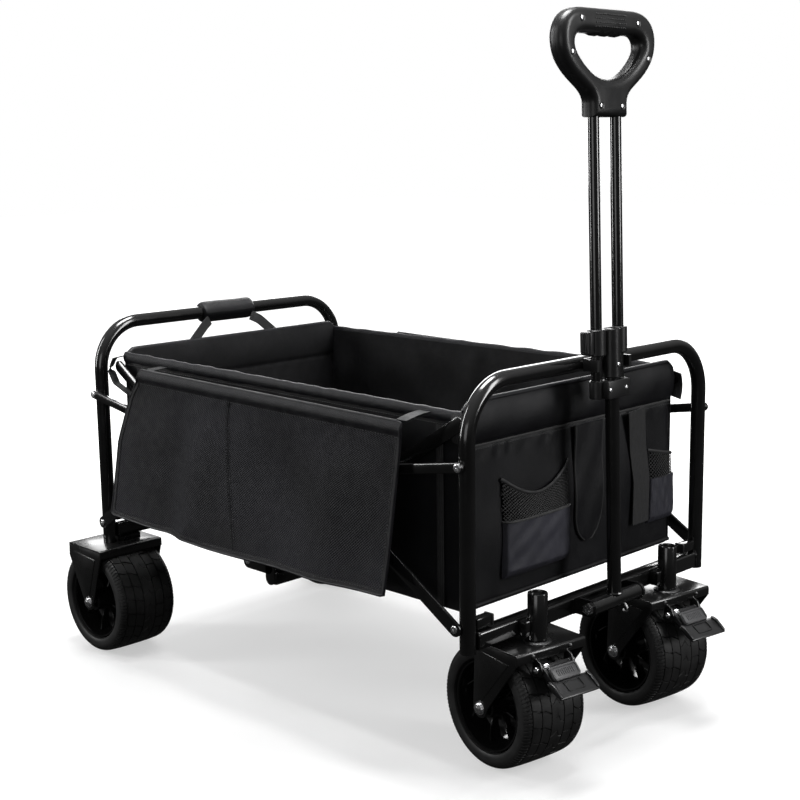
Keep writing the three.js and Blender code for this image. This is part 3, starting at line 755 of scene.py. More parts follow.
def cross_bar(name, x, body):
    low, high = (Vector(p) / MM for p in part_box(name))
    solid = Solid()
    solid.block((x - 12, low.y, low.z), (x + 11, high.y, high.z), 3.2, 3)
    for sign in (-1, 1):
        end = sign * (high.y - 0.6)
        ring = rounded_box(11, 11.5, 3.4, 2)
        weld(solid, [(x + a, end, (low.z + high.z) / 2 + b) for a, b in ring + ring[:1]], 1.3)
    return solid.build(name + "_tube", [powder], body, [name], "powder_coat")


hoop("front_hoop", 0, "front_frame", HOOP_TOP)
hoop("rear_hoop", REAR, "rear_frame", REAR_TOP)
cross_bar("front_cross_bar", 0, "front_frame")
cross_bar("rear_cross_bar", REAR, "rear_frame")

STUB_Z = 230

# Square plugs and the ends of the basket's wire frame, inside the foot of each upright.
for side, sign in SIDES:
    for x, body in ((0, "front_frame"), (REAR, "rear_frame")):
        stub = Solid()
        plug = (UPRIGHT_Y - 11.2, 30, 7, 1.2, 0)
        cap = (UPRIGHT_Y - 40, 4, 8, 1.5, 1)
        for start, length, half, edge, material in (plug, cap):
            low, high = sorted((sign * start, sign * (start - length)))
            corners = (x - half, low, STUB_Z - half), (x + half, high, STUB_Z + half)
            stub.block(*corners, edge, material=material)
        end = "front" if x == 0 else "rear"
        stub.build(f"wire_stub_{end}_{side}", [powder, satin], body, slot="powder_coat")


# ---- wheels ----
TREAD_CELLS = 24
SUB_CELLS = 4
RIM_RIBS = 8


def tread_rows():
    """Half of the tyre's section from the bead to the middle: (y, radius, row), outer edge first.
    Rows: 0 sidewall, 1 shoulder lugs, 2 and 3 block rows, 4 centre rib, 9 a groove running round."""
    return [
        (47.5, 65.9, 0),
        (50.5, 66.0, 0),
        (53.2, 67.2, 0),
        (54.4, 69.5, 0),
        (54.6, 73.0, 0),
        (54.9, 76.5, 0),
        (54.8, 79.0, 0),
        (54.2, 81.5, 0),
        (53.6, 82.7, 1),
        (52.6, 84.4, 1),
        (51.0, 86.0, 1),
        (48.6, 87.4, 1),
        (46.4, 88.2, 1),
        (45.2, 88.4, 1),
        (44.9, 86.6, 9),
        (43.9, 86.6, 9),
        (43.6, 88.7, 2),
        (39.0, 89.1, 2),
        (34.0, 89.4, 2),
        (29.2, 89.6, 2),
        (28.9, 87.6, 9),
        (27.9, 87.6, 9),
        (27.6, 89.7, 3),
        (22.0, 89.8, 3),
        (17.0, 89.9, 3),
        (12.2, 90.0, 3),
        (11.9, 87.9, 9),
        (10.9, 87.9, 9),
        (10.6, 90.0, 4),
        (5.0, 90.0, 4),
        (0.0, 90.0, 4),
    ]


def tyre_mesh():
    """A tyre about Y: lugs on the shoulders, wavy cross grooves between blocks, four grooves round."""
    half = tread_rows()
    profile = [(-y, r, row) for y, r, row in half] + [(y, r, row) for y, r, row in half[-2::-1]]
    offsets = (0.0, 0.3, 1.25, 1.55, 2.65)
    pitch = 360 / TREAD_CELLS / SUB_CELLS
    angles, in_groove, cell = [], [], []
    for k in range(TREAD_CELLS * SUB_CELLS):
        for j, offset in enumerate(offsets):
            angles.append(k * pitch + offset)
            in_groove.append(j in (1, 2))
            cell.append(k % SUB_CELLS)
    count = len(angles)
    points = []
    for y, radius, row in profile:
        wave = 2.6 * math.sin(y / 8.5) + 1.2 * math.sin(y / 3.9 + 1.0)
        stagger = {2: 1, 3: 3, 4: 2}.get(row, 0) * (1 if y > 0 else 2) * pitch
        for a, groove, sub in zip(angles, in_groove, cell):
            deep = 0.0
            if row == 1 and groove:
                deep = 1.9
            elif row in (2, 3) and groove and sub == 0:
                deep = 1.9
            elif row == 4 and groove and sub == 0:
                deep = 0.7
            turn = math.radians(a + (wave + stagger if row in (2, 3, 4) else wave * 0.4))
            r = radius - deep
            points.append((r * math.cos(turn), y, r * math.sin(turn)))
    faces = []
    rows = len(profile)
    for j in range(rows - 1):
        for i in range(count):
            k = (i + 1) % count
            faces.append((j * count + i, j * count + k, (j + 1) * count + k, (j + 1) * count + i))
    inner = len(points)
    for y in (47.5, -47.5):
        for a in angles:
            turn = math.radians(a)
            points.append((65.6 * math.cos(turn), y, 65.6 * math.sin(turn)))
    rings = [(rows - 1) * count, inner, inner + count, 0]
    for one, two in zip(rings, rings[1:]):
        for i in range(count):
            k = (i + 1) % count
            faces.append((one + i, one + k, two + k, two + i))
    mesh = bpy.data.meshes.new("tyre")
    mesh.from_pydata([[c * MM for c in p] for p in points], [], faces)
    return face_outward(mesh)


def rim_mesh():
    """A deep dished rim about Y, with eight swept ribs on each face."""
    solid = Solid()
    turn = Matrix.Rotation(-math.pi / 2, 4, "X")
    half = [
        (65.3, 48),
        (63.8, 50.6),
        (61.6, 50.2),
        (60.2, 47.0),
        (59.0, 30.0),
        (57.0, 15.5),
        (52.0, 12.0),
        (22.0, 9.0),
        (19.0, 12.0),
        (17.4, 40.0),
        (16.4, 52.6),
        (14.6, 53.8),
        (6.4, 53.8),
    ]
    barrel = [(65.3, -48)] + half + [(r, -y) for r, y in half[:0:-1]]
    solid.lathe(barrel, 64, turn)
    steps = 8
    for face in (-1, 1):
        for k in range(RIM_RIBS):
            points = []
            for i in range(steps + 1):
                t = i / steps
                radius = 16.5 + 43 * t
                a = 2 * math.pi * k / RIM_RIBS + 0.62 * t * t
                points.append(Vector((radius * math.cos(a), 0, radius * math.sin(a))))
            bm = bmesh.new()
            rings = []
            for i, p in enumerate(points):
                t = i / steps
                along = (points[min(i + 1, steps)] - points[max(i - 1, 0)]).normalized()
                side = along.cross(Vector((0, 1, 0))).normalized()
                low, high = 9.5, 26 - 11 * math.sin(math.pi * t) + 10 * t
                crest = [(-1.4, high - 1), (-0.7, high), (0.7, high), (1.4, high - 1)]
                section = [(-1.9, low), *crest, (1.9, low)]
                rings.append([bm.verts.new(p + side * s + Vector((0, face * h, 0))) for s, h in section])
            join_rings(bm, rings)
            bm.faces.new(rings[0])
            bm.faces.new(rings[-1])
            bmesh.ops.recalc_face_normals(bm, faces=bm.faces)
            solid.take(bm)
    return solid.mesh("rim")


def axle_bolt_mesh(reach):
    """A through axle with a domed hex head and washer at each end, about Y."""
    solid = Solid()
    turn = Matrix.Rotation(-math.pi / 2, 4, "X")
    solid.lathe([(0, -reach), (5.8, -reach), (5.8, reach), (0, reach)], 20, turn)
    for sign in (-1, 1):
        at = along_y(0, sign * (reach - 0.4), 0, sign)
        solid.lathe([(0, 0), (9.6, 0), (9.8, 0.5), (9.4, 1.3), (0, 1.3)], 28, at)
        hexagon = [(7.6 * math.cos(math.pi / 3 * k), 7.6 * math.sin(math.pi / 3 * k)) for k in range(6)]
        solid.prism(hexagon, 1.2, 4.6, "z", 0.7, 2, matrix=at)
        solid.lathe([(0, 6.0), (1.6, 5.9), (3.4, 5.3), (4.0, 4.4), (4.0, 3.0), (0, 3.0)], 20, at)
    return solid.mesh("axle_bolt")


TYRE, RIM, AXLE_BOLT = tyre_mesh(), rim_mesh(), axle_bolt_mesh(63.4)
CASTER_TURN = math.radians(-8)
TRAIL = 48
STEM_X, STEM_Y = 25.5, 152.4
REAR_WHEEL_Y = 251


def caster_place(sign, forward=0.0):
    """Where a front caster stands, or a point ahead of its swivel axis."""
    return wagon_place(STEM_X, sign * STEM_Y, 0, CASTER_TURN) @ Matrix.Translation((forward * MM, 0, 0))


for side, sign in SIDES:
    rear_axle = wagon_place(REAR, sign * REAR_WHEEL_Y, WHEEL_R)
    front_axle = caster_place(sign, -TRAIL) @ Matrix.Translation((0, 0, WHEEL_R * MM))
    for end, axle, bolt_body in (("rear", rear_axle, "rear_frame"), ("front", front_axle, f"caster_{side}")):
        wheel = f"{end}_wheel_{side}"
        for piece, mesh, material, body, node, slot, sharp in (
            ("tread", TYRE, tyre_rubber, wheel, "tyre", "tyre", 38),
            ("hub", RIM, rim_plastic, wheel, "rim", "wheel_rim", 30),
            ("bolt", AXLE_BOLT, zinc, bolt_body, "axle_bolt", "bolt_steel", 30),
        ):
            name, stands_for = f"{end}_{piece}_{side}", [f"{end}_{node}_{side}"]
            finish_piece(name, mesh.copy(), [material], body, stands_for, axle, sharp)


# ---- forks ----
FORK_TOP = 186
FORK_HALF = 63


def bent_plate(solid, front, rear, lip):
    """The fork's top plate with its lip folded down in front."""
    sheet = 3
    bend = 4.0
    profile = [(rear, FORK_TOP - sheet), (rear, FORK_TOP)]
    for i in range(6):
        a = math.pi / 2 * (1 - i / 5)
        profile.append((front - bend + bend * math.cos(a), FORK_TOP - bend + bend * math.sin(a)))
    profile += [(front, FORK_TOP - lip), (front - sheet, FORK_TOP - lip)]
    profile.append((front - sheet, FORK_TOP - sheet))
    solid.prism(profile, -FORK_HALF, FORK_HALF, "y", 0.5, 2)


def fork_arm(solid, wheel_x, front, rear, sign):
    """A side arm from the plate to the axle's eye, with the pressed crease of its outer face."""
    outer = sign * FORK_HALF
    inner = sign * (FORK_HALF - 3)
    eye = 14
    outline = [(front - 3, FORK_TOP - 2), (rear, FORK_TOP - 2), (rear - 1, FORK_TOP - 22)]
    for i in range(13):
        a = math.pi + math.pi * i / 12
        outline.append((wheel_x + eye * math.cos(a), WHEEL_R + eye * math.sin(a)))
    outline.append((front - 2, FORK_TOP - 16))
    solid.prism(outline, min(outer, inner), max(outer, inner), "y", 0.9, 2)
    crease = [
        (front - 16, FORK_TOP - 17),
        (rear + 15, FORK_TOP - 12),
        (rear + 12, FORK_TOP - 27),
        (wheel_x - 8, WHEEL_R + 9),
        (wheel_x + 4, WHEEL_R + 11),
    ]
    face = outer - sign * 0.6
    solid.prism(crease, min(face, face + sign * 1.7), max(face, face + sign * 1.7), "y", 1.0, 3)


for side, sign in SIDES:
    fork = Solid()
    bent_plate(fork, 42, -52, 14)
    for arm in (-1, 1):
        fork_arm(fork, 0, 42, -52, arm)
    low, high = sorted((-sign * 42, 0))
    fork.block((-10, low, FORK_TOP - 1), (10, high, 194.6), 1.5)
    for x in (-12, 12):
        weld(fork, [(x, -sign * 1, FORK_TOP + 1), (x, -sign * 28, FORK_TOP + 1)], 1.8)
    place = wagon_place(REAR, sign * REAR_WHEEL_Y, 0)
    node = f"rear_fork_{side}"
    fork.build(f"rear_fork_shell_{side}", [fork_paint], "rear_frame", [node], "powder_coat", place)

BRAKE_X, BRAKE_Z = 33, 161


def caster_fork(side, sign):
    fork = Solid()
    bent_plate(fork, 28.5, -58, 14)
    for arm in (-1, 1):
        fork_arm(fork, -TRAIL, 28.5, -58, arm)
    ring = [(0, 185.5), (19, 185.5), (19.6, 186.4), (18.6, 187.6), (16.5, 188.5), (12, 188.6), (0, 188.6)]
    fork.lathe(ring, 40, material=1)
    fork.lathe([(0, 186), (10.4, 186), (10.4, 240), (0, 240)], 24)
    fork.lathe([(0, 175), (11, 175), (15, 178), (15.5, 183.5), (0, 183.5)], 32, material=1)
    ear = [(26.5, 184), (20.5, 153), (24, 150), (36, 151), (42, 160), (37, 171.5), (28.8, 175)]
    for s in (-1, 1):
        low, high = sorted((s * 27, s * 30))
        fork.prism(ear, low, high, "y", 0.7, 2)
        fork.lathe(rivet_profile(4.6, 2.4), 20, along_y(BRAKE_X, s * 33.2, BRAKE_Z, s), 2)
        fork.lathe([(0, 0), (3.9, 0), (3.9, 4), (0, 4)], 16, along_y(BRAKE_X, s * 29.5, BRAKE_Z, s), 2)
        knob = along_x(28.4, s * 34, 179.5)
        fork.lathe([(0, 0), (3.4, 0), (3.2, 1.4), (2.2, 2.3), (0, 2.6)], 16, knob, 1)
    return fork.build(
        f"caster_fork_shell_{side}",
        [fork_paint, dark_steel, zinc],
        f"caster_{side}",
        [f"caster_fork_{side}"],
        "powder_coat",
        caster_place(sign),
    )


def brake(side, sign):
    """The lower pedal with its square recess, and the raised ribbed release tab above it."""
    pedal = Solid()
    tread = [(31, 155.5), (37, 151.5), (60, 144), (60, 147.5), (44, 158.5), (34, 166)]
    pedal.prism(tread, -25, 25, "y", 1.2, 2)
    foot = [(57, 147.5), (66, 141.2), (81, 134.2), (84.8, 134.0)]
    foot += [(84.9, 136.6), (81, 139.6), (66, 148.6), (58, 151)]
    pedal.prism(foot, -35.5, 35.5, "y", 1.3, 3)
    for s in (-1, 1):
        low, high = sorted((s * 31, s * 35.5))
        pedal.prism([(60, 145), (84, 135), (84.6, 139.4), (70, 150.5), (60, 153.5)], low, high, "y", 1.0, 2)
    slope = math.atan2(-10.5, 17)
    lie = Matrix.Translation((71.5, 0, 145.9)) @ Matrix.Rotation(-slope, 4, "Y")
    frame_in, frame_out = rounded_box(8.6, 15, 2, 3), rounded_box(7.2, 13.6, 1.6, 3)
    bm = bmesh.new()
    rings = [
        [bm.verts.new((a, b, h)) for a, b in ring]
        for ring, h in ((frame_in, -1.5), (frame_in, 0.9), (frame_out, 0.9), (frame_out, -0.7))
    ]
    join_rings(bm, rings)
    bm.faces.new(rings[0][::-1])
    bm.faces.new(rings[-1])
    bmesh.ops.recalc_face_normals(bm, faces=bm.faces)
    pedal.take(bm, lie)
    tab_lean = Matrix.Translation((53.5, 0, 158.2)) @ Matrix.Rotation(math.radians(46), 4, "Y")
    pedal.prism(rounded_box(10.5, 24.5, 5, 4), -2.4, 1.4, "z", 1.2, 3, 1, tab_lean)
    outer, inner = rounded_box(9.6, 23.4, 4.2, 4), rounded_box(7.6, 21.2, 2.8, 4)
    bm = bmesh.new()
    rings = [
        [bm.verts.new((a, b, h)) for a, b in ring]
        for ring, h in ((outer, 1.0), (outer, 2.6), (inner, 2.6), (inner, 1.0))
    ]
    join_rings(bm, rings, loop=True)
    bmesh.ops.recalc_face_normals(bm, faces=bm.faces)
    pedal.take(bm, tab_lean, 1)
    for k in range(9):
        y = -14 + 3.5 * k
        pedal.block((-4.6, y - 0.8, 1), (4.6, y + 0.8, 2.2), 0.5, 2, 1, tab_lean)
    pedal.block((34, -20, 157), (50, 20, 163), 2, 2)
    pedal.lathe([(0, -30.5), (3.9, -30.5), (3.9, 30.5), (0, 30.5)], 16, along_y(BRAKE_X, 0, BRAKE_Z), 2)
    coil = []
    for k in range(90):
        a = 2 * math.pi * k / 10
        coil.append((BRAKE_X + 5.4 * math.cos(a), -22 + 9 * k / 89, BRAKE_Z + 5.4 * math.sin(a)))
    pedal.sweep(coil, circle(0.8, 6), material=2)
    return pedal.build(
        f"brake_pedal_shell_{side}",
        [pedal_plastic, tab_plastic, zinc],
        f"brake_{side}",
        [f"brake_pedal_{side}"],
        "brake_plastic",
        caster_place(sign),
    )


for side, sign in SIDES:
    caster_fork(side, sign)
    brake(side, sign)
    stem = Solid()
    y = sign * STEM_Y
    tube = [(0, 189.4), (13.4, 189.4), (14, 190), (14, 253.6), (13.6, 254.4), (12.6, 254.8), (12.2, 254.0)]
    tube += [(11.9, 250.5), (10.5, 250.2), (3.0, 251.4), (0, 251.6)]
    stem.lathe(tube, 40, Matrix.Translation((STEM_X, y, 0)))
    stem.block((11.4, y - 24, 196), (STEM_X, y + 24, 218), 2.2, 2)
    for edge in (196.4, 217.6):
        turns = np.linspace(1.9, 4.4, 12)
        arc = [(STEM_X + 14.2 * math.cos(a), y + 14.2 * math.sin(a), edge) for a in turns]
        weld(stem, arc, 1.4)
    node = f"caster_stem_tube_{side}"
    stem.build(f"caster_stem_shell_{side}", [powder], "front_frame", [node], "powder_coat")

# ---- scissor linkage ----
LOWER_PIVOT = (-10, 226)
TOP_HINGE = (CENTRE, 478.45)
BOTTOM_HINGE = (CENTRE, 253.35)
CROSS_POINT = (-233.88, 365.9)
UPPER_END = (-32.05, 492.02)
LINK_END = (-145.59, 421.07)
LINK_PIVOT = (0, 445)
BAR_HALF = 10
LAYERS = {
    "lower_bar_front": (276.3, 280.5),
    "lower_bar_rear": (280.8, 285.0),
    "upper_bar_front": (243.2, 247.4),
    "upper_bar_rear": (247.7, 251.9),
}
LINK_LAYER = (276.3, 283.3)


def at_end(point, which):
    """A point of the front half, or its mirror image in the rear half."""
    return point if which == "front" else (REAR - point[0], point[1])


def flat_bar(kind, which, side, sign, start, end, pins):
    """A flat bar with round ends; pins are (point, from, to, radius) across the wagon."""
    node = f"{kind}_{which}_{side}"
    low, high = LAYERS[f"{kind}_{which}"]
    start, end = at_end(start, which), at_end(end, which)
    bar = Solid()
    bar.prism(bar_outline(start, end, BAR_HALF), *sorted((sign * low, sign * high)), "y", 0.8, 2)
    for point, inner, outer, radius in pins:
        x, z = at_end(point, which)
        shaft = [(0, 0), (radius, 0), (radius, outer - inner), (0, outer - inner)]
        if outer - inner > 0.5:
            bar.lathe(shaft, 20, along_y(x, sign * inner, z, sign), 1)
    for point, *_ in pins:
        x, z = at_end(point, which)
        bar.lathe(rivet_profile(5.6, 2.0), 24, along_y(x, sign * high, z, sign), 1)
    bar.build(node + "_strap", [powder, zinc], node, [node], "powder_coat")


for side, sign in SIDES:
    for which in ("front", "rear"):
        lower_low = LAYERS[f"lower_bar_{which}"][0]
        upper_high = LAYERS[f"upper_bar_{which}"][1]
        lower_pins = [
            (LOWER_PIVOT, lower_low, lower_low, 4),
            (CROSS_POINT, upper_high + 0.4, lower_low, 4.2),
            (TOP_HINGE, lower_low, lower_low, 4),
        ]
        if which == "front":
            lower_pins = lower_pins[:2]
        flat_bar("lower_bar", which, side, sign, LOWER_PIVOT, TOP_HINGE, lower_pins)
        flat_bar("upper_bar", which, side, sign, UPPER_END, BOTTOM_HINGE, [])

        node = f"short_link_{which}_{side}"
        inner, outer = LINK_LAYER
        link = Solid()
        ends = [at_end(p, which) for p in (LINK_PIVOT, LINK_END)]
        link.prism(bar_outline(ends[0], ends[1], 7), *sorted((sign * inner, sign * outer)), "y", 1.8, 3)
        for x, z in ends:
            link.lathe(rivet_profile(6.2, 2.0), 26, along_y(x, sign * outer, z, sign), 1)
        reach = inner - upper_high - 0.4
        shaft = [(0, 0), (4.2, 0), (4.2, reach), (0, reach)]
        link.lathe(shaft, 20, along_y(ends[1][0], sign * (inner - reach), ends[1][1], sign), 1)
        link.build(node + "_tube", [powder, zinc], node, [node], "powder_coat")

floor_bar = Solid()
floor_bar.block((CENTRE - 10, -252.3, 195), (CENTRE + 10, 252.3, 215), 2.6, 3)
for side, sign in SIDES:
    plate = bar_outline((CENTRE, 205), BOTTOM_HINGE, 10.5)
    floor_bar.prism(plate, *sorted((sign * 252.2, sign * 255.4)), "y", 0.7, 2)
    floor_bar.lathe(rivet_profile(6.2, 2.0), 26, along_y(CENTRE, sign * 255.4, BOTTOM_HINGE[1], sign), 1)
    ear = bar_outline((CENTRE - 4, 222), (CENTRE - 52, 222), 11)
    floor_bar.prism(ear, *sorted((sign * 252.2, sign * 255.4)), "y", 0.7, 2)
    floor_bar.lathe(rivet_profile(5.0, 2.0), 24, along_y(CENTRE - 52, sign * 255.4, 222, sign), 1)
node = "centre_floor_bar"
floor_bar.build(f"{node}_tube", [powder, zinc], node, [node], "powder_coat")


# ---- CAD pieces shown as they are ----
for node, made in (("handle_bracket", powder), ("handle_pivot_bolt", zinc), ("handle_cradle", satin)):
    shown = bpy.data.objects[node]
    for index in range(max(1, len(shown.material_slots))):
        if index < len(shown.data.materials):
            shown.data.materials[index] = made
        else:
            shown.data.materials.append(made)


# ---- handle ----
HANDLE_LEAN = math.radians(-1.7)
HANDLE_PLACE = wagon_place(41, 0, 211) @ Matrix.Rotation(HANDLE_LEAN, 4, "Y")
TWIN_X, TWIN_Y = -7, 24.7
BLOCK_LOW, BLOCK_HIGH = 352, 388
SHOE_LOW, SHOE_HIGH = 292, 317
GRIP_LOW, GRIP_HIGH = 674, 816
GRIP_HALF_DEPTH = 15


def tube_profile(outer, inner, low, high, edge=0.8):
    """A tube's wall as a closed profile, with eased edges."""
    return [
        (inner, low),
        (outer - edge, low),
        (outer, low + edge),
        (outer, high - edge),
        (outer - edge, high),
        (inner, high),
    ]


def at(x, y, z=0):
    return Matrix.Translation((x, y, z))


stalk = Solid()
stalk.lathe(tube_profile(11, 5.6, -53, 53), 40, along_y(0, 0, 0))
for sign in (-1, 1):
    stalk.lathe(tube_profile(9.2, 5.6, 0, 1.6, 0.4), 30, along_y(0, sign * 53.1, 0, sign), 1)
stalk.lathe([(0, 8), (10, 8), (10, 380), (0, 380)], 36)
weld(stalk, [(10.6 * math.cos(a), 10.6 * math.sin(a), 10.6) for a in np.linspace(0, 6.28, 20)], 1.5)
hook = [(6, 16, -8), (9, 16, -11), (11, 16, -15), (9.5, 16, -19.5), (5.5, 16, -20.5), (3.4, 16, -17)]
stalk.sweep(resample(hook, 1.6), circle(1.5, 8), material=1)
stalk.build("handle_stalk_tube", [powder, zinc], "handle", ["handle_stalk"], "powder_coat", HANDLE_PLACE)

guide = Solid()
for sign in (-1, 1):
    guide.lathe(tube_profile(13, 8.7, BLOCK_LOW, BLOCK_HIGH, 1.2), 36, at(TWIN_X, sign * TWIN_Y))
guide.block((TWIN_X - 9, -14, BLOCK_LOW + 1), (TWIN_X + 8, 14, BLOCK_HIGH - 1), 1.6, 3)
guide.lathe(tube_profile(12.5, 10.3, BLOCK_LOW - 32, BLOCK_HIGH, 1.0), 36)
guide.lathe(rivet_profile(3.4, 1.4), 20, along_x(12.3, 0, BLOCK_LOW - 14), 1)
guide.block((TWIN_X - 4, 13, BLOCK_LOW + 6), (TWIN_X + 7, 17.5, BLOCK_HIGH - 6), 1.0, 2, 2)
node = ["handle_guide_block"]
guide.build("guide_block_shell", [satin, zinc, inner_cloth], "handle", node, "black_plastic", HANDLE_PLACE)

LEVER_ROOT = -(TWIN_Y + 13 + 3.6)
lever = Solid()
curve = []
for i in range(13):
    t = i / 12
    x = TWIN_X - 9 + 18 * t
    curve.append((x, LEVER_ROOT - 7 - 20 * t * (1 - t)))
outline = [(TWIN_X + 9, LEVER_ROOT), (TWIN_X - 9, LEVER_ROOT)] + curve
lever.prism(outline, BLOCK_LOW + 3, BLOCK_HIGH - 1, "z", 1.3, 3)
corners = (TWIN_X - 4, LEVER_ROOT - 1, BLOCK_LOW + 9), (TWIN_X + 4, LEVER_ROOT + 3.4, BLOCK_HIGH - 9)
lever.block(*corners, 0.4, 1)
for x, y in curve[2:-1:2]:
    lever.lathe([(0, 0), (1.1, 0.6), (1.1, 27.4), (0, 28)], 10, at(x, y, BLOCK_LOW + 6))
lever.build("release_lever_shell", [satin], "release_lever", ["release_lever"], "black_plastic", HANDLE_PLACE)

for side, sign in SIDES:
    tube = Solid()
    tube.lathe([(0, 296), (8, 296), (8, 700), (0, 700)], 36, at(TWIN_X, sign * TWIN_Y))
    node = [f"sliding_tube_{side}"]
    tube.build(f"sliding_tube_shell_{side}", [powder], "handle_slide", node, "powder_coat", HANDLE_PLACE)

shoe = Solid()
for sign in (-1, 1):
    shoe.lathe(tube_profile(10.5, 8.2, SHOE_LOW, SHOE_HIGH, 1.0), 36, at(TWIN_X, sign * TWIN_Y))
    shoe.lathe(rivet_profile(3.2, 1.5), 20, along_x(13.5, sign * 18 - 2.5, 304.5), 1)
shoe.block((TWIN_X - 8, -24, SHOE_LOW), (TWIN_X + 18.5, -11, SHOE_HIGH), 1.2, 2)
shoe.block((TWIN_X - 8, 11, SHOE_LOW), (TWIN_X + 18.5, 24, SHOE_HIGH), 1.2, 2)
shoe.block((10.7, -24.5, SHOE_LOW), (13.5, 24.5, SHOE_HIGH), 1.3, 3)
shoe.build("slider_shoe_shell", [satin, zinc], "handle_slide", ["slider_shoe"], "black_plastic", HANDLE_PLACE)


# ---- grip ----
def bezier(a, b, c, d, steps=12):
    out = []
    for i in range(steps):
        t = i / steps
        w = ((1 - t) ** 3, 3 * t * (1 - t) ** 2, 3 * t * t * (1 - t), t**3)
        out.append(tuple(sum(k * p[n] for k, p in zip(w, (a, b, c, d))) for n in range(2)))
    return out


def mirrored(points):
    return [(-y, z) for y, z in points[::-1]]


GRIP_RIGHT = (
    [(38, GRIP_LOW)]
    + bezier((38, 692), (38, 710), (68, 716), (89, 739))
    + bezier((89, 739), (114, 764), (112, GRIP_HIGH), (55, GRIP_HIGH), 18)
    + [(55, GRIP_HIGH)]
)
OPENING_RIGHT = (
    bezier((0.01, 724), (30, 724), (52, 740), (67, 756))
    + bezier((67, 756), (80, 770), (74, 783), (52, 783))
    + [(52, 783)]
)


def grip_shell(name, node, low, high):
    """One moulded half of the D grip between two depths, rounded towards its outer face."""
    curve = bpy.data.curves.new(name, "CURVE")
    curve.dimensions = "2D"
    curve.fill_mode = "BOTH"
    edge = 11.5
    curve.extrude = (GRIP_HALF_DEPTH - edge) * MM
    curve.bevel_depth = edge * MM
    curve.bevel_resolution = 8
    curve.offset = -edge * MM
    for half in (GRIP_RIGHT, OPENING_RIGHT):
        outline = half + mirrored(half)
        spline = curve.splines.new("POLY")
        spline.points.add(len(outline) - 1)
        for point, (y, z) in zip(spline.points, outline):
            point.co = (y * MM, z * MM, 0, 1)
        spline.use_cyclic_u = True
    carrier = bpy.data.objects.new(name + "_outline", curve)
    bpy.context.scene.collection.objects.link(carrier)
    bpy.context.view_layer.update()
    mesh = bpy.data.meshes.new_from_object(carrier.evaluated_get(bpy.context.evaluated_depsgraph_get()))
    bpy.data.objects.remove(carrier)
    bpy.data.curves.remove(curve)
    bm = bmesh.new()
    bm.from_mesh(mesh)
    turn = Matrix(((0, 0, 1, TWIN_X * MM), (1, 0, 0, 0), (0, 1, 0, 0), (0, 0, 0, 1)))
    bmesh.ops.transform(bm, matrix=turn, verts=bm.verts)
    bmesh.ops.remove_doubles(bm, verts=bm.verts, dist=0.00002)
    for cut, outward in ((low, -1), (high, 1)):
        plane = (cut * MM, 0, 0)
        everything = bm.verts[:] + bm.edges[:] + bm.faces[:]
        facing = (outward, 0, 0)
        bmesh.ops.bisect_plane(bm, geom=everything, plane_co=plane, plane_no=facing, clear_outer=True)
        rim = [e for e in bm.edges if len(e.link_faces) == 1]
        bmesh.ops.triangle_fill(bm, use_beauty=True, edges=rim)
    bmesh.ops.recalc_face_normals(bm, faces=bm.faces)
    bm.to_mesh(mesh)
    bm.free()
    return finish_piece(name, mesh, [grip_plastic], "handle_slide", [node], HANDLE_PLACE, 40)


GRIP_FACE = TWIN_X + GRIP_HALF_DEPTH
grip_shell("grip_front_half", "grip_front_shell", TWIN_X + 0.15, GRIP_FACE + 1)
grip_shell("grip_rear_half", "grip_rear_shell", TWIN_X - GRIP_HALF_DEPTH - 1, TWIN_X - 0.15)

details = Solid()
for y, z in ((-64, 801), (59, 798.5), (-85, 757), (83, 752), (-25, 688.5), (21.5, 688)):
    here = along_x(GRIP_FACE - 1.2, y, z)
    details.lathe([(3.5, 0), (5.2, 0), (5.1, 1.4), (4.6, 1.8), (3.6, 1.5)], 28, here)
    details.lathe([(0, 0), (3.4, 0), (3.3, 1.5), (2.2, 2.0), (0, 2.2)], 22, here, 1)
for row in range(4):
    for k in range(17):
        y = -36 + 4 * k + (2 if row % 2 else 0)
        dot = along_x(GRIP_FACE - 0.3, y, 791 + 5.4 * row)
        details.lathe([(0, 0), (1.15, 0), (1.0, 1.0), (0, 1.4)], 8, dot)
for k in range(3):
    y = -20 + 22 * k
    path = [(TWIN_X + a, y + 0.5 * a, 782.6 + 0.035 * a * a) for a in (-11, -6, 0, 6, 11)]
    details.sweep(path, circle(3.0, 10))
details.build("grip_details", [grip_plastic, zinc], "handle_slide", (), "grip_plastic", HANDLE_PLACE)

# ---- basket ----
BAND_LOW, RIM = 459, 520  # seam under the puffy top band, and the rim
BOTTOM = 234
WALL_Y = 237.5
FRONT_WALL = -WALL_SETBACK - 1.5
REAR_WALL = REAR + WALL_SETBACK + 1.5
CORNER_Y, CORNER_Z, CORNER_R = 189, 474, 62  # inside of the hoop's bend


def rim_height(y):
    """How high a panel across the wagon reaches under the hoop's bend."""
    out = np.clip(np.abs(y) - CORNER_Y, 0, CORNER_R * 0.99)
    return np.minimum(RIM, CORNER_Z + np.sqrt(CORNER_R**2 - out**2) - 6)


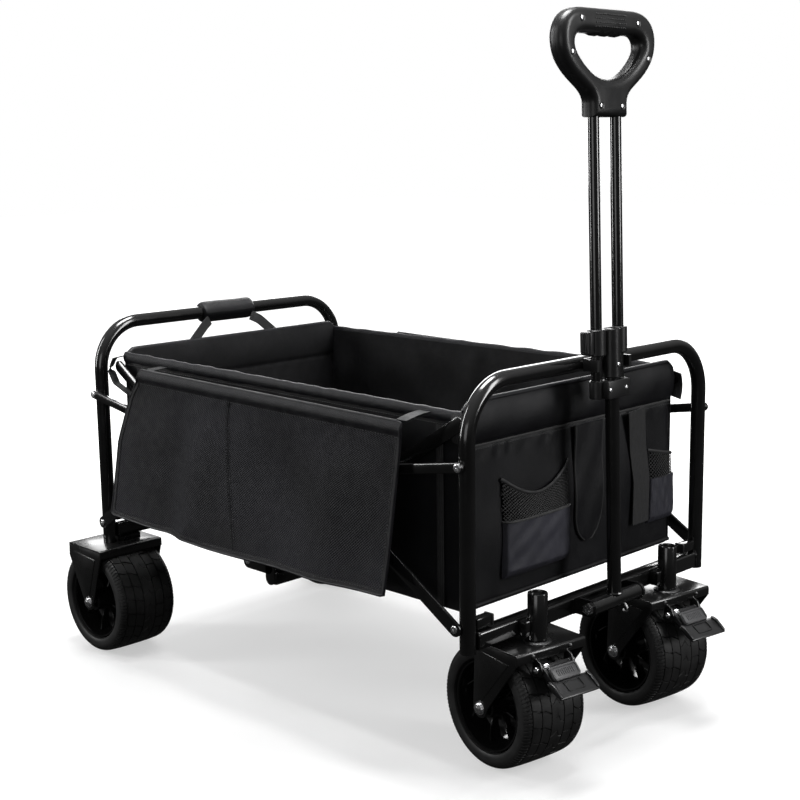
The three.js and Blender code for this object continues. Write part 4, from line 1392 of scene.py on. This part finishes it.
def cross_panel(x, facing, half_width, seed, sag=4.0, fullness=1.0):
    """A panel across the wagon: a puffy band over a seam, a bellied panel with pulls from its corners."""

    def shape(u, v):
        y = (u * 2 - 1) * half_width
        z = BOTTOM + (rim_height(y) - BOTTOM) * v
        band = np.clip((z - BAND_LOW) / (RIM - BAND_LOW), 0, 1)
        puff = 9.5 * np.sin(np.pi * band) ** 0.7 * (z > BAND_LOW)
        puff = puff * (0.85 + 0.25 * waves(u * 2.2, v, seed, 6, 0.8, 2.6))
        under = np.clip((BAND_LOW - z) / (BAND_LOW - BOTTOM), 0, 1)
        belly = sag * np.sin(np.pi * under) * np.cos(y / half_width * 1.2)
        slack = 1.9 * waves(u * 1.4, v * 1.2, seed + 1, 8, 0.7, 3.2) * np.sin(np.pi * under) ** 0.6
        seam = -2.2 * bulge(z, BAND_LOW, 3.0)
        gathers = 0.9 * np.sin(y / 5.2 + 1.4 * waves(u, v * 0.3, seed + 2, 4)) * bulge(z, BAND_LOW - 9, 11)
        edge = -3.0 * smooth_step(np.abs(y), half_width - 14, half_width)
        relief = puff + belly + slack + seam + gathers + edge
        return x + facing * relief * fullness, y, z

    return shape


def rim_dip(sign, t):
    """How far a side's rim hangs below the panel's full height, from the rear corner to the front."""
    return 5.0 + 8.0 * t if sign < 0 else 8.0 - 1.0 * t


def side_panel(sign, seed, inner):
    """A long side wall; the lining inside hangs in soft upright folds."""

    def shape(u, v):
        x = REAR_WALL + (FRONT_WALL - REAR_WALL) * u
        z = BOTTOM + (514 - rim_dip(sign, u) - BOTTOM) * v
        slack = np.sin(np.pi * np.clip(v * 0.96 + 0.02, 0, 1)) ** 0.5
        folds = np.sin(x / 33 + 2.2 * waves(u * 1.5, v * 0.35, seed, 5, 0.6, 2.0))
        fine = waves(u * 5.5, v * 1.1, seed + 1, 9, 0.8, 3.0)
        depth = (2.6 * folds + 1.6 * fine) * slack if inner else 1.1 * fine * slack
        base = WALL_Y - 3.5 if inner else WALL_Y
        inward = 3.4 + depth if inner else -0.6 * depth
        return x, sign * (base - np.maximum(inward, 0.0)), z

    return shape


front_outer = cross_panel(-29.5, 1, 236, 11)
front_inner = cross_panel(-35.5, -1, 233, 21, 2.0, 0.6)
rear_outer = cross_panel(REAR + 30.5, -1, 231, 31, 3.0, 0.8)
rear_inner = cross_panel(REAR + 36.0, 1, 230, 41, 5.0, 0.4)
front_node, rear_node = ["basket_front_panel"], ["basket_rear_panel"]
sheet_piece("front_panel_cloth", front_outer, (190, 120), -2.0, body_cloth, "front_frame", front_node)
sheet_piece("front_panel_lining", front_inner, (110, 70), 1.2, inner_cloth, "front_frame")
sheet_piece("rear_panel_cloth", rear_outer, (150, 90), 2.0, body_cloth, "rear_frame", rear_node)
sheet_piece("rear_panel_lining", rear_inner, (170, 110), -1.2, inner_cloth, "rear_frame")
for side, sign in SIDES:
    wall, lining = side_panel(sign, 51 + sign, False), side_panel(sign, 61 + sign, True)
    node = [f"basket_side_{side}"]
    sheet_piece(f"side_wall_{side}", wall, (200, 60), 1.0, body_cloth, "front_frame", node, fold=True)
    sheet_piece(f"side_lining_{side}", lining, (230, 80), 0.8, inner_cloth, "front_frame", fold=True)


def hem_roll(sign):
    """The padded roll along a side's rim, gathered a little by its stitching."""

    def shape(u, v):
        x = REAR_WALL + (FRONT_WALL - REAR_WALL) * u
        a = 2 * math.pi * v
        full = 1 + 0.07 * waves(u * 9, v * 0.0, 71 + sign, 8, 0.7, 3.0)
        z = 511 - rim_dip(sign, u) + 9.0 * full * np.sin(a) * (1 - 0.15 * np.cos(a))
        return x, sign * (236.4 + 4.6 * full * np.cos(a)), z

    return shape


def tube_sheet(name, shape, columns, rows):
    """A sheet that closes on itself in v, with its two ends capped."""
    mesh = sheet_mesh(name, shape, columns, rows)
    bm = bmesh.new()
    bm.from_mesh(mesh)
    bmesh.ops.remove_doubles(bm, verts=bm.verts, dist=0.00005)
    rim = [e for e in bm.edges if len(e.link_faces) == 1]
    bmesh.ops.holes_fill(bm, edges=rim, sides=0)
    bmesh.ops.recalc_face_normals(bm, faces=bm.faces)
    bm.to_mesh(mesh)
    bm.free()
    return mesh


for side, sign in SIDES:
    roll = tube_sheet(f"rim_roll_{side}", hem_roll(sign), 260, 18)
    cloth_piece(f"rim_roll_{side}", roll, hem_cloth, "front_frame", fold=True)
    run = [
        (REAR_WALL + (FRONT_WALL - REAR_WALL) * t, sign * 241.0, 500.5 - rim_dip(sign, t))
        for t in np.linspace(0, 1, 90)
    ]
    stitches(f"rim_stitches_{side}", [run], "front_frame", True, (0, sign * 0.4, 0))


def rim_path(x, half_width, lift=0.0):
    ys = np.linspace(-half_width, half_width, 70)
    return [(x, y, float(rim_height(y)) + lift) for y in ys]


for end, x, body in (("front", -31, "front_frame"), ("rear", REAR + 32.5, "rear_frame")):
    half_width = 236 if end == "front" else 230
    piping(f"{end}_rim_piping", rim_path(x, half_width, -1.5), 4.2, body, material=hem_cloth)
    out = 1.4 if end == "front" else -1.2
    across = np.linspace(-half_width + 4, half_width - 4, 60)
    seam = [(x + out, y, BAND_LOW) for y in across]
    piping(f"{end}_band_piping", seam, 1.7, body)
    facing = 1 if end == "front" else -1
    below = [(p[0] + 0.6 * facing, p[1], BAND_LOW - 5) for p in seam]
    stitches(f"{end}_band_stitches", [below], body, False, (0.5 * facing, 0, 0))
hem_path = [(-28.6, y, BOTTOM + 5) for y in np.linspace(-232, 232, 60)]
piping("front_hem_piping", hem_path, 3.4, "front_frame", material=inner_cloth)


for side, sign in SIDES:
    def seam_shape(u, v, s=sign):
        return -76 + 12 * u, s * (240.4 + 0.9 * np.sin(np.pi * u)), 486 - (486 - BOTTOM - 3) * v

    webbing = (strap_cloth, "front_frame", (), "webbing")
    sheet_piece(f"wall_webbing_{side}", seam_shape, (10, 90), 1.0 * sign, *webbing, True)

    def tab_shape(u, v, s=sign):
        x = -46 + 30 * u
        return x, s * (240.8 + 4.2 * np.sin(np.pi * v)), 506 - 40 * v - 6 * u

    sheet_piece(f"corner_tab_{side}", tab_shape, (16, 24), 1.2 * sign, *webbing)


# ---- padded floor ----
PAD_REAR, PAD_LENGTH = REAR_WALL + 9, FRONT_WALL - REAR_WALL - 16
PAD_HALF_WIDTH = 227
PAD_CELLS = 4
PAD_PRESSURE = 0.35
PAD_CAP = 5.0  # no point of the pad moves further than this as it fills


def floor_pad(u, v):
    """A quilted mat: four cells along the basket, pressed at its seams."""
    x = PAD_REAR + PAD_LENGTH * u
    y = (v * 2 - 1) * PAD_HALF_WIDTH
    edge = np.minimum(np.minimum(u, 1 - u) * 30, np.minimum(v, 1 - v) * 20)
    cell = np.abs(np.sin(math.pi * u * PAD_CELLS)) ** 0.45
    puff = 7.5 * np.clip(edge, 0, 1) ** 0.5 * (0.35 + 0.65 * cell)
    return x, y, 244.5 + puff * (1 + 0.08 * waves(u * 3, v * 2, 81, 7))


def pad_seams(x, y):
    """The pad's border and the seams between its cells."""
    along = (x - PAD_REAR) / PAD_LENGTH
    return (np.abs(np.sin(math.pi * along * PAD_CELLS)) < 0.12) | (np.abs(y) > 218)


pad_node = ["basket_floor"]
pad_piece = sheet_piece("floor_pad", floor_pad, (150, 90), -4.0, inner_cloth, "front_frame", pad_node)
swell(pad_piece, PAD_PRESSURE, PAD_CAP, pad_seams)
squash_with_fold(pad_piece)


# ---- side flaps ----
FLAP_TOP_Z, FLAP_HEM_Z = 500, 259
FLAP_TOP_Y, FLAP_HEM_Y = 289.2, 315.5
FLAP_SEED = 91
FLAP_TAB_WIDTH = 20


def flap_edges(v):
    """The flap's two upright edges at a height from 0 at the rim to 1 at the hem."""
    rear = np.interp(v, [0, 0.2, 0.5, 1], [-676, -705, -728, -738])
    front = np.interp(v, [0, 0.5, 1], [-92, -100, -106])
    return rear, front


def flap_point(u, v, sign, out=0.0):
    """A cargo flap hanging over the linkage: a padded top hem, broad soft folds, a flared hem."""
    rear, front = flap_edges(v)
    x = rear + (front - rear) * u
    sag = 9 * np.sin(np.pi * u) * v**2
    z = FLAP_TOP_Z + 3 - 9 * u - (FLAP_TOP_Z - 6 * u - FLAP_HEM_Z) * v - sag
    flare = FLAP_TOP_Y + (FLAP_HEM_Y - FLAP_TOP_Y) * (0.55 * v + 0.45 * v**2)
    hem = 3.4 * np.sin(np.pi * np.clip(v / 0.075, 0, 1)) ** 0.8
    fold = -7.0 * bulge(u, 0.235, 0.05) + 5.0 * bulge(u, 0.33, 0.055) - 5.0 * bulge(u, 0.62, 0.10)
    fold = (fold + 4.5 * bulge(u, 0.80, 0.07)) * smooth_step(v, 0.04, 0.5)
    drape = 2.4 * waves(u * 1.6, v * 0.5, FLAP_SEED + sign, 6, 0.6, 2.0) * smooth_step(v, 0.05, 0.5)
    pucker = 0.7 * np.sin(x / 7.5 + 2 * waves(u * 2, v, FLAP_SEED + 5, 5)) * bulge(v, 0.10, 0.035)
    y = np.clip(flare + hem + fold + drape + pucker, 288.6, 317.5) + out
    return x, sign * y, z


def flap_seam(v):
    """Where the flap's upright seam lies across it, from the rim down to the hem."""
    return 0.397 + 0.095 * v


for side, sign in SIDES:
    flap_cloth = (flap_mesh, "front_frame", [f"side_flap_{side}"], "flap_fabric", True)
    whole = lambda u, v, s=sign: flap_point(u, v, s)
    flap = sheet_piece(f"flap_cloth_{side}", whole, (230, 110), 1.1 * sign, *flap_cloth)

    def edge_line(us, vs, out=0.6, s=sign):
        return line_on(lambda u, v: flap_point(u, v, s, out), us, vs)

    t = np.linspace(0, 1, 60)
    border = edge_line(t, t * 0) + edge_line(t * 0 + 1, t)[1:]
    border += edge_line(t[::-1], t * 0 + 1)[1:] + edge_line(t * 0, t[::-1])[1:]
    trim = [piping(f"flap_binding_{side}", border, 2.2, "front_frame", True, hem_cloth, "flap_fabric")]
    across, down = 8.0 / 620, 8.0 / 245
    bands = {
        "top": (0, 1, 0.004, 0.082),
        "hem": (0, 1, 1 - down, 0.998),
        "rear": (0.002, across, 0.06, 1),
        "front": (1 - across, 0.998, 0.06, 1),
    }
    for label, (u0, u1, v0, v1) in bands.items():

        def band(u, v, s=sign, corners=(u0, u1, v0, v1)):
            left, right, high, low = corners
            return flap_point(left + (right - left) * u, high + (low - high) * v, s, 0.9)

        size = (200, 8) if label in ("top", "hem") else (5, 90)
        border_cloth = (hem_cloth, "front_frame", (), "flap_fabric", True)
        trim.append(sheet_piece(f"flap_{label}_band_{side}", band, size, 1.0 * sign, *border_cloth))
    seam_u = flap_seam(t)
    seam_line = edge_line(seam_u, t * 0.9 + 0.09, 0.5)
    trim.append(piping(f"flap_seam_{side}", seam_line, 1.5, "front_frame", True, hem_cloth))
    rows = [
        edge_line(t * 0.96 + 0.02, t * 0 + 0.088, 1.5),
        edge_line(t * 0.96 + 0.02, t * 0 + 1 - down * 0.8, 2.0),
        edge_line(t * 0 + across * 0.8, t * 0.88 + 0.09, 2.0),
        edge_line(t * 0 + 1 - across * 0.8, t * 0.88 + 0.09, 2.0),
        edge_line(seam_u - 0.006, t * 0.88 + 0.09, 1.2),
        edge_line(seam_u + 0.006, t * 0.88 + 0.09, 1.2),
    ]
    sewing = stitches(f"flap_stitches_{side}", rows, "front_frame", True, (0, sign * 0.5, 0))

    # Short tabs carry the flap's two top corners over the linkage to the rim.
    for end, x in (("rear", -676), ("front", -92)):

        def tab(u, v, x=x, s=sign):
            y = 246 + (FLAP_TOP_Y + 1.2 - 246) * v
            return x + (u - 0.5) * FLAP_TAB_WIDTH, s * y, 503 - 6 * v + 1.6 * np.sin(np.pi * v)

        tab_cloth = (inner_cloth, "front_frame", (), "webbing", True)
        sheet_piece(f"flap_tab_{end}_{side}", tab, (8, 16), -1.6 * sign, *tab_cloth)


# ---- front pockets and trims ----
PANEL_X = -28.2


NET_CELL = 5.6


def net(name, shape, width, height):
    """Knotted diagonal net over a surface: each strand is a real cord."""
    solid = Solid()
    for lean in (-1, 1):
        count = int((width + height) / NET_CELL)
        for k in range(count + 1):
            start = k * NET_CELL - (height if lean > 0 else 0)
            t = np.linspace(0, 1, 15)
            u = (start + lean * t * height) / width
            inside = (u >= 0) & (u <= 1)
            if inside.sum() < 2:
                continue
            strand = np.stack(shape(u[inside], t[inside]), axis=-1)
            solid.sweep([tuple(q) for q in strand], circle(0.5, 5))
    return solid.build(name, [net_cord], "front_frame", slot="basket_fabric", sharp=80)


def pouch(low, high, bottom, top, depth, seed):
    """A gathered pocket that stands off the panel and closes to it at its edges."""

    def shape(u, v):
        y = low + (high - low) * u
        z = bottom + (top - bottom) * v
        across = np.sin(np.pi * np.clip(u, 0, 1)) ** 0.14
        rise = np.clip(v * 6.5, 0, 1) ** 0.5
        crease = 0.7 * waves(u * 2.0, v * 1.1, seed, 8, 0.8, 3.2)
        return PANEL_X + (depth * 0.88 + crease) * across * rise + 0.6, y, z

    return shape


def near_opening(y):
    """The near pocket's mouth: high at its outer end, dipping, then rising to the middle."""
    t = np.clip((y + 180) / 158, 0, 1)
    return 414 - 46 * np.sin(np.pi * np.clip(t * 0.86, 0, 1)) + 14 * t


near = pouch(-165, -25, 264, 345, 17, 111)
near_node, far_node = ["front_pocket_right"], ["front_pocket_left"]
sheet_piece("near_pocket_pouch", near, (110, 60), -1.6, pouch_cloth, "front_frame", near_node)


def near_net(u, v):
    y = -168 + 146 * u
    z = 343 + (near_opening(y) - 343) * v
    across = np.sin(np.pi * np.clip(u, 0, 1)) ** 0.5
    return PANEL_X + 1.2 + 15 * across * (1 - 0.55 * v), y, z


net("near_pocket_net", near_net, 146, 62)
mouth_u = np.linspace(0, 1, 50)
mouth = line_on(near_net, mouth_u, mouth_u * 0 + 1)
piping("near_pocket_binding", mouth, 2.8, "front_frame", material=strap_cloth, flat=0.7)
piping("near_pouch_seam", line_on(near, mouth_u, mouth_u * 0 + 1), 1.8, "front_frame")

far = pouch(172, 234, 275, 346, 12, 121)
sheet_piece("far_pocket_pouch", far, (60, 50), -1.4, pouch_cloth, "front_frame", far_node)


def far_net(u, v):
    y = 172 + 62 * u
    z = 345 + (390 - 14 * u - 345) * v
    across = np.sin(np.pi * np.clip(u, 0, 1)) ** 0.5
    return PANEL_X + 1.0 + 10.5 * across * (1 - 0.5 * v), y, z


net("far_pocket_net", far_net, 62, 42)
far_mouth = line_on(far_net, mouth_u, mouth_u * 0 + 1)
piping("far_pocket_binding", far_mouth, 2.6, "front_frame", material=strap_cloth, flat=0.7)


STRAP_THICK = 1.8
STRAP_COLUMNS = 14


def strap_between(name, stations, width, body):
    """A strap of webbing through stations of (x, y, z)."""
    centre = resample(stations, 5)

    def shape(u, v):
        at_run = v[:, 0] * (len(centre) - 1)
        index = np.arange(len(centre))
        line = np.stack([np.interp(at_run, index, centre[:, k]) for k in range(3)], axis=1)
        along = np.gradient(line, axis=0)
        along /= np.linalg.norm(along, axis=1, keepdims=True) + 1e-9
        out = np.array([1.0, 0.0, 0.0]) if abs(along[0][0]) < 0.8 else np.array([0.0, 0.0, 1.0])
        side = np.cross(along, out)
        side /= np.linalg.norm(side, axis=1, keepdims=True) + 1e-9
        spread = (u - 0.5) * width
        return tuple(line[:, None, k] + side[:, None, k] * spread for k in range(3))

    size = (STRAP_COLUMNS, max(6, len(centre)))
    return sheet_piece(name, shape, size, STRAP_THICK, strap_cloth, body, (), "webbing")


front_strap = [(-20.5, 132, 459), (-22, 138, 400), (-21.5, 148, 350), (-22.5, 148, 282)]
strap_between("front_webbing", front_strap, 40, "front_frame")


def pocket_shade_sheet(name, source, lift):
    """A near-black sheet of painted shade: the inside of a pocket, seen through its net."""

    def shape(u, v):
        x, y, z = source(u * 0.97 + 0.015, v * 0.96)
        return np.minimum(x - lift, x * 0 + PANEL_X + 4.0), y, z

    sheet_piece(name, shape, (40, 24), -0.8, pocket_shade_cloth, "front_frame")


pocket_shade_sheet("near_pocket_inside", near_net, 3.0)
pocket_shade_sheet("far_pocket_inside", far_net, 3.0)


def tongue(u, v):
    """The short round-ended flap in the middle of the panel."""
    y = 22 + (u - 0.5) * 62 * np.sqrt(np.clip(1 - np.clip((v - 0.72) / 0.28, 0, 0.97) ** 2, 0, 1))
    z = 456 - 173 * v
    return -24.6 + 0.8 * waves(u, v * 1.2, 131, 6, 0.6, 2.0) + 2.0 * np.sin(np.pi * v), y, z


sheet_piece("front_tongue", tongue, (40, 90), -1.6, body_cloth, "front_frame")
tu = np.linspace(0, 1, 50)
edges = line_on(tongue, tu * 0, tu) + line_on(tongue, tu * 0 + 1, tu)[::-1]
piping("tongue_binding", edges, 1.9, "front_frame", material=strap_cloth)

# ---- rear sleeve and straps ----
def sleeve_shape(u, v):
    """A firm sleeve round the rear top bar, a little squared, pressed in at its two ends."""
    y = -54 + 112 * u
    a = 2 * math.pi * v
    end = np.clip(np.minimum(u, 1 - u) * 16, 0, 1) ** 0.5
    radius = 15.2 + 2.4 * end + 0.5 * waves(u * 0.9, v, 141, 5, 0.6, 1.6)
    square = 1 + 0.045 * np.cos(4 * a)
    return REAR + radius * square * np.cos(a), y, REAR_TOP + radius * square * np.sin(a)


sleeve = tube_sheet("rear_sleeve_cloth", sleeve_shape, 70, 44)
sleeve_piece = cloth_piece("rear_sleeve_cloth", sleeve, body_cloth, "rear_frame", ["rear_sleeve"])
for side, sign in SIDES:
    run = [(REAR + 16, sign * 47, 549), (REAR + 21, sign * 62, 541), (REAR + 26, sign * 98, 510)]
    strap = strap_between(f"rear_strap_cloth_{side}", run, 17, "rear_frame")
    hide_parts(f"rear_strap_{side}")


for side, sign in SIDES:
    loop = [
        (REAR + 36, sign * 238, 509),
        (REAR + 12, sign * 245, 503),
        (REAR + 4, sign * 249, 484),
        (REAR + 20, sign * 250, 462),
        (REAR + 52, sign * 246, 447),
        (REAR + 76, sign * 242, 441),
    ]
    strap_between(f"rear_corner_loop_{side}", loop, 13, "rear_frame")


# ---- stage: a pale floor, soft studio light and the camera ----
scene = bpy.context.scene
scene.view_settings.view_transform = "Standard"

floor_mesh = bpy.data.meshes.new("floor")
reach = 14
floor_mesh.from_pydata(
    [(-reach, -reach, 0), (reach, -reach, 0), (reach, reach, 0), (-reach, reach, 0)], [], [(0, 1, 2, 3)]
)
floor = bpy.data.objects.new("floor", floor_mesh)
scene.collection.objects.link(floor)
pale = bpy.data.materials.new("pale_floor")
pale.use_nodes = True
tree = pale.node_tree
shader = tree.nodes["Principled BSDF"]
shader.inputs["Base Color"].default_value = (0.46, 0.46, 0.46, 1)
shader.inputs["Roughness"].default_value = 0.9
shader.inputs["Specular IOR Level"].default_value = 0.0
shader.inputs["Emission Color"].default_value = (1, 1, 1, 1)
# The floor glows as painted light: white far off and less towards its middle under the wagon, a painted shade
# around the wagon that lets its real shadows show.
floor_space = tree.nodes.new("ShaderNodeTexCoord")
away = tree.nodes.new("ShaderNodeVectorMath")
away.operation = "LENGTH"
whiten = tree.nodes.new("ShaderNodeMapRange")
whiten.interpolation_type = "SMOOTHSTEP"
for key, value in (("From Min", 0.55), ("From Max", 1.9), ("To Min", 0.5), ("To Max", 1.0)):
    whiten.inputs[key].default_value = value
tree.links.new(floor_space.outputs["Object"], away.inputs[0])
tree.links.new(away.outputs["Value"], whiten.inputs["Value"])
tree.links.new(whiten.outputs["Result"], shader.inputs["Emission Strength"])
floor_mesh.materials.append(pale)
floor.visible_diffuse = False
floor.visible_glossy = False

world = bpy.data.worlds.new("studio")
scene.world = world
world.use_nodes = True
tree = world.node_tree
tree.nodes.clear()
out = tree.nodes.new("ShaderNodeOutputWorld")
pick = tree.nodes.new("ShaderNodeMixShader")
rays = tree.nodes.new("ShaderNodeLightPath")
seen, lit = tree.nodes.new("ShaderNodeBackground"), tree.nodes.new("ShaderNodeBackground")
seen.inputs["Color"].default_value = (1, 1, 1, 1)
coords = tree.nodes.new("ShaderNodeTexCoord")
parts = tree.nodes.new("ShaderNodeSeparateXYZ")
ramp = tree.nodes.new("ShaderNodeMapRange")
for key, value in (("From Min", -0.1), ("From Max", 0.9), ("To Min", 0.04), ("To Max", 0.55)):
    ramp.inputs[key].default_value = value
for source, target in (
    (coords.outputs["Generated"], parts.inputs[0]),
    (parts.outputs[2], ramp.inputs["Value"]),
    (ramp.outputs["Result"], lit.inputs["Strength"]),
    (rays.outputs["Is Camera Ray"], pick.inputs[0]),
    (lit.outputs[0], pick.inputs[1]),
    (seen.outputs[0], pick.inputs[2]),
    (pick.outputs[0], out.inputs["Surface"]),
):
    tree.links.new(source, target)


def soft_light(name, where, target, width, height, power):
    light = bpy.data.lights.new(name, "AREA")
    light.shape = "RECTANGLE"
    light.size, light.size_y = width, height
    light.energy = power
    lamp = bpy.data.objects.new(name, light)
    scene.collection.objects.link(lamp)
    lamp.location = where
    lamp.visible_camera = False
    lamp.rotation_euler = (Vector(target) - Vector(where)).to_track_quat("-Z", "Y").to_euler()


soft_light("overhead", (0.0, 0.1, 3.0), (0, 0, 0.3), 1.3, 1.3, 105)
soft_light("left_strip", (-2.4, -2.2, 1.5), (-0.2, 0, 0.4), 0.35, 2.4, 50)
soft_light("front_strip", (2.9, 1.2, 1.7), (0.3, 0, 0.5), 0.7, 2.4, 62)
soft_light("back_panel", (-2.1, 2.3, 1.5), (0, 0, 0.35), 3.4, 1.8, 95)
soft_light("near_fill", (1.3, -2.9, 0.9), (0.1, 0, 0.4), 1.6, 1.2, 9)

camera = bpy.data.objects.new("camera", bpy.data.cameras.new("camera"))
scene.collection.objects.link(camera)
camera.data.lens = 64.57
camera.data.sensor_width = 36
camera.data.dof.use_dof = False
camera_right = Vector((0.70929276, 0.70477326, -0.01408673))
camera_up = Vector((-0.1159789, 0.13638731, 0.98384318))
camera_back = Vector((0.69530761, -0.69619908, 0.17847735))
turned = Matrix((camera_right, camera_up, camera_back)).transposed().to_4x4()
camera.matrix_world = Matrix.Translation((1.61283, -1.59742, 0.85851)) @ turned
scene.camera = camera
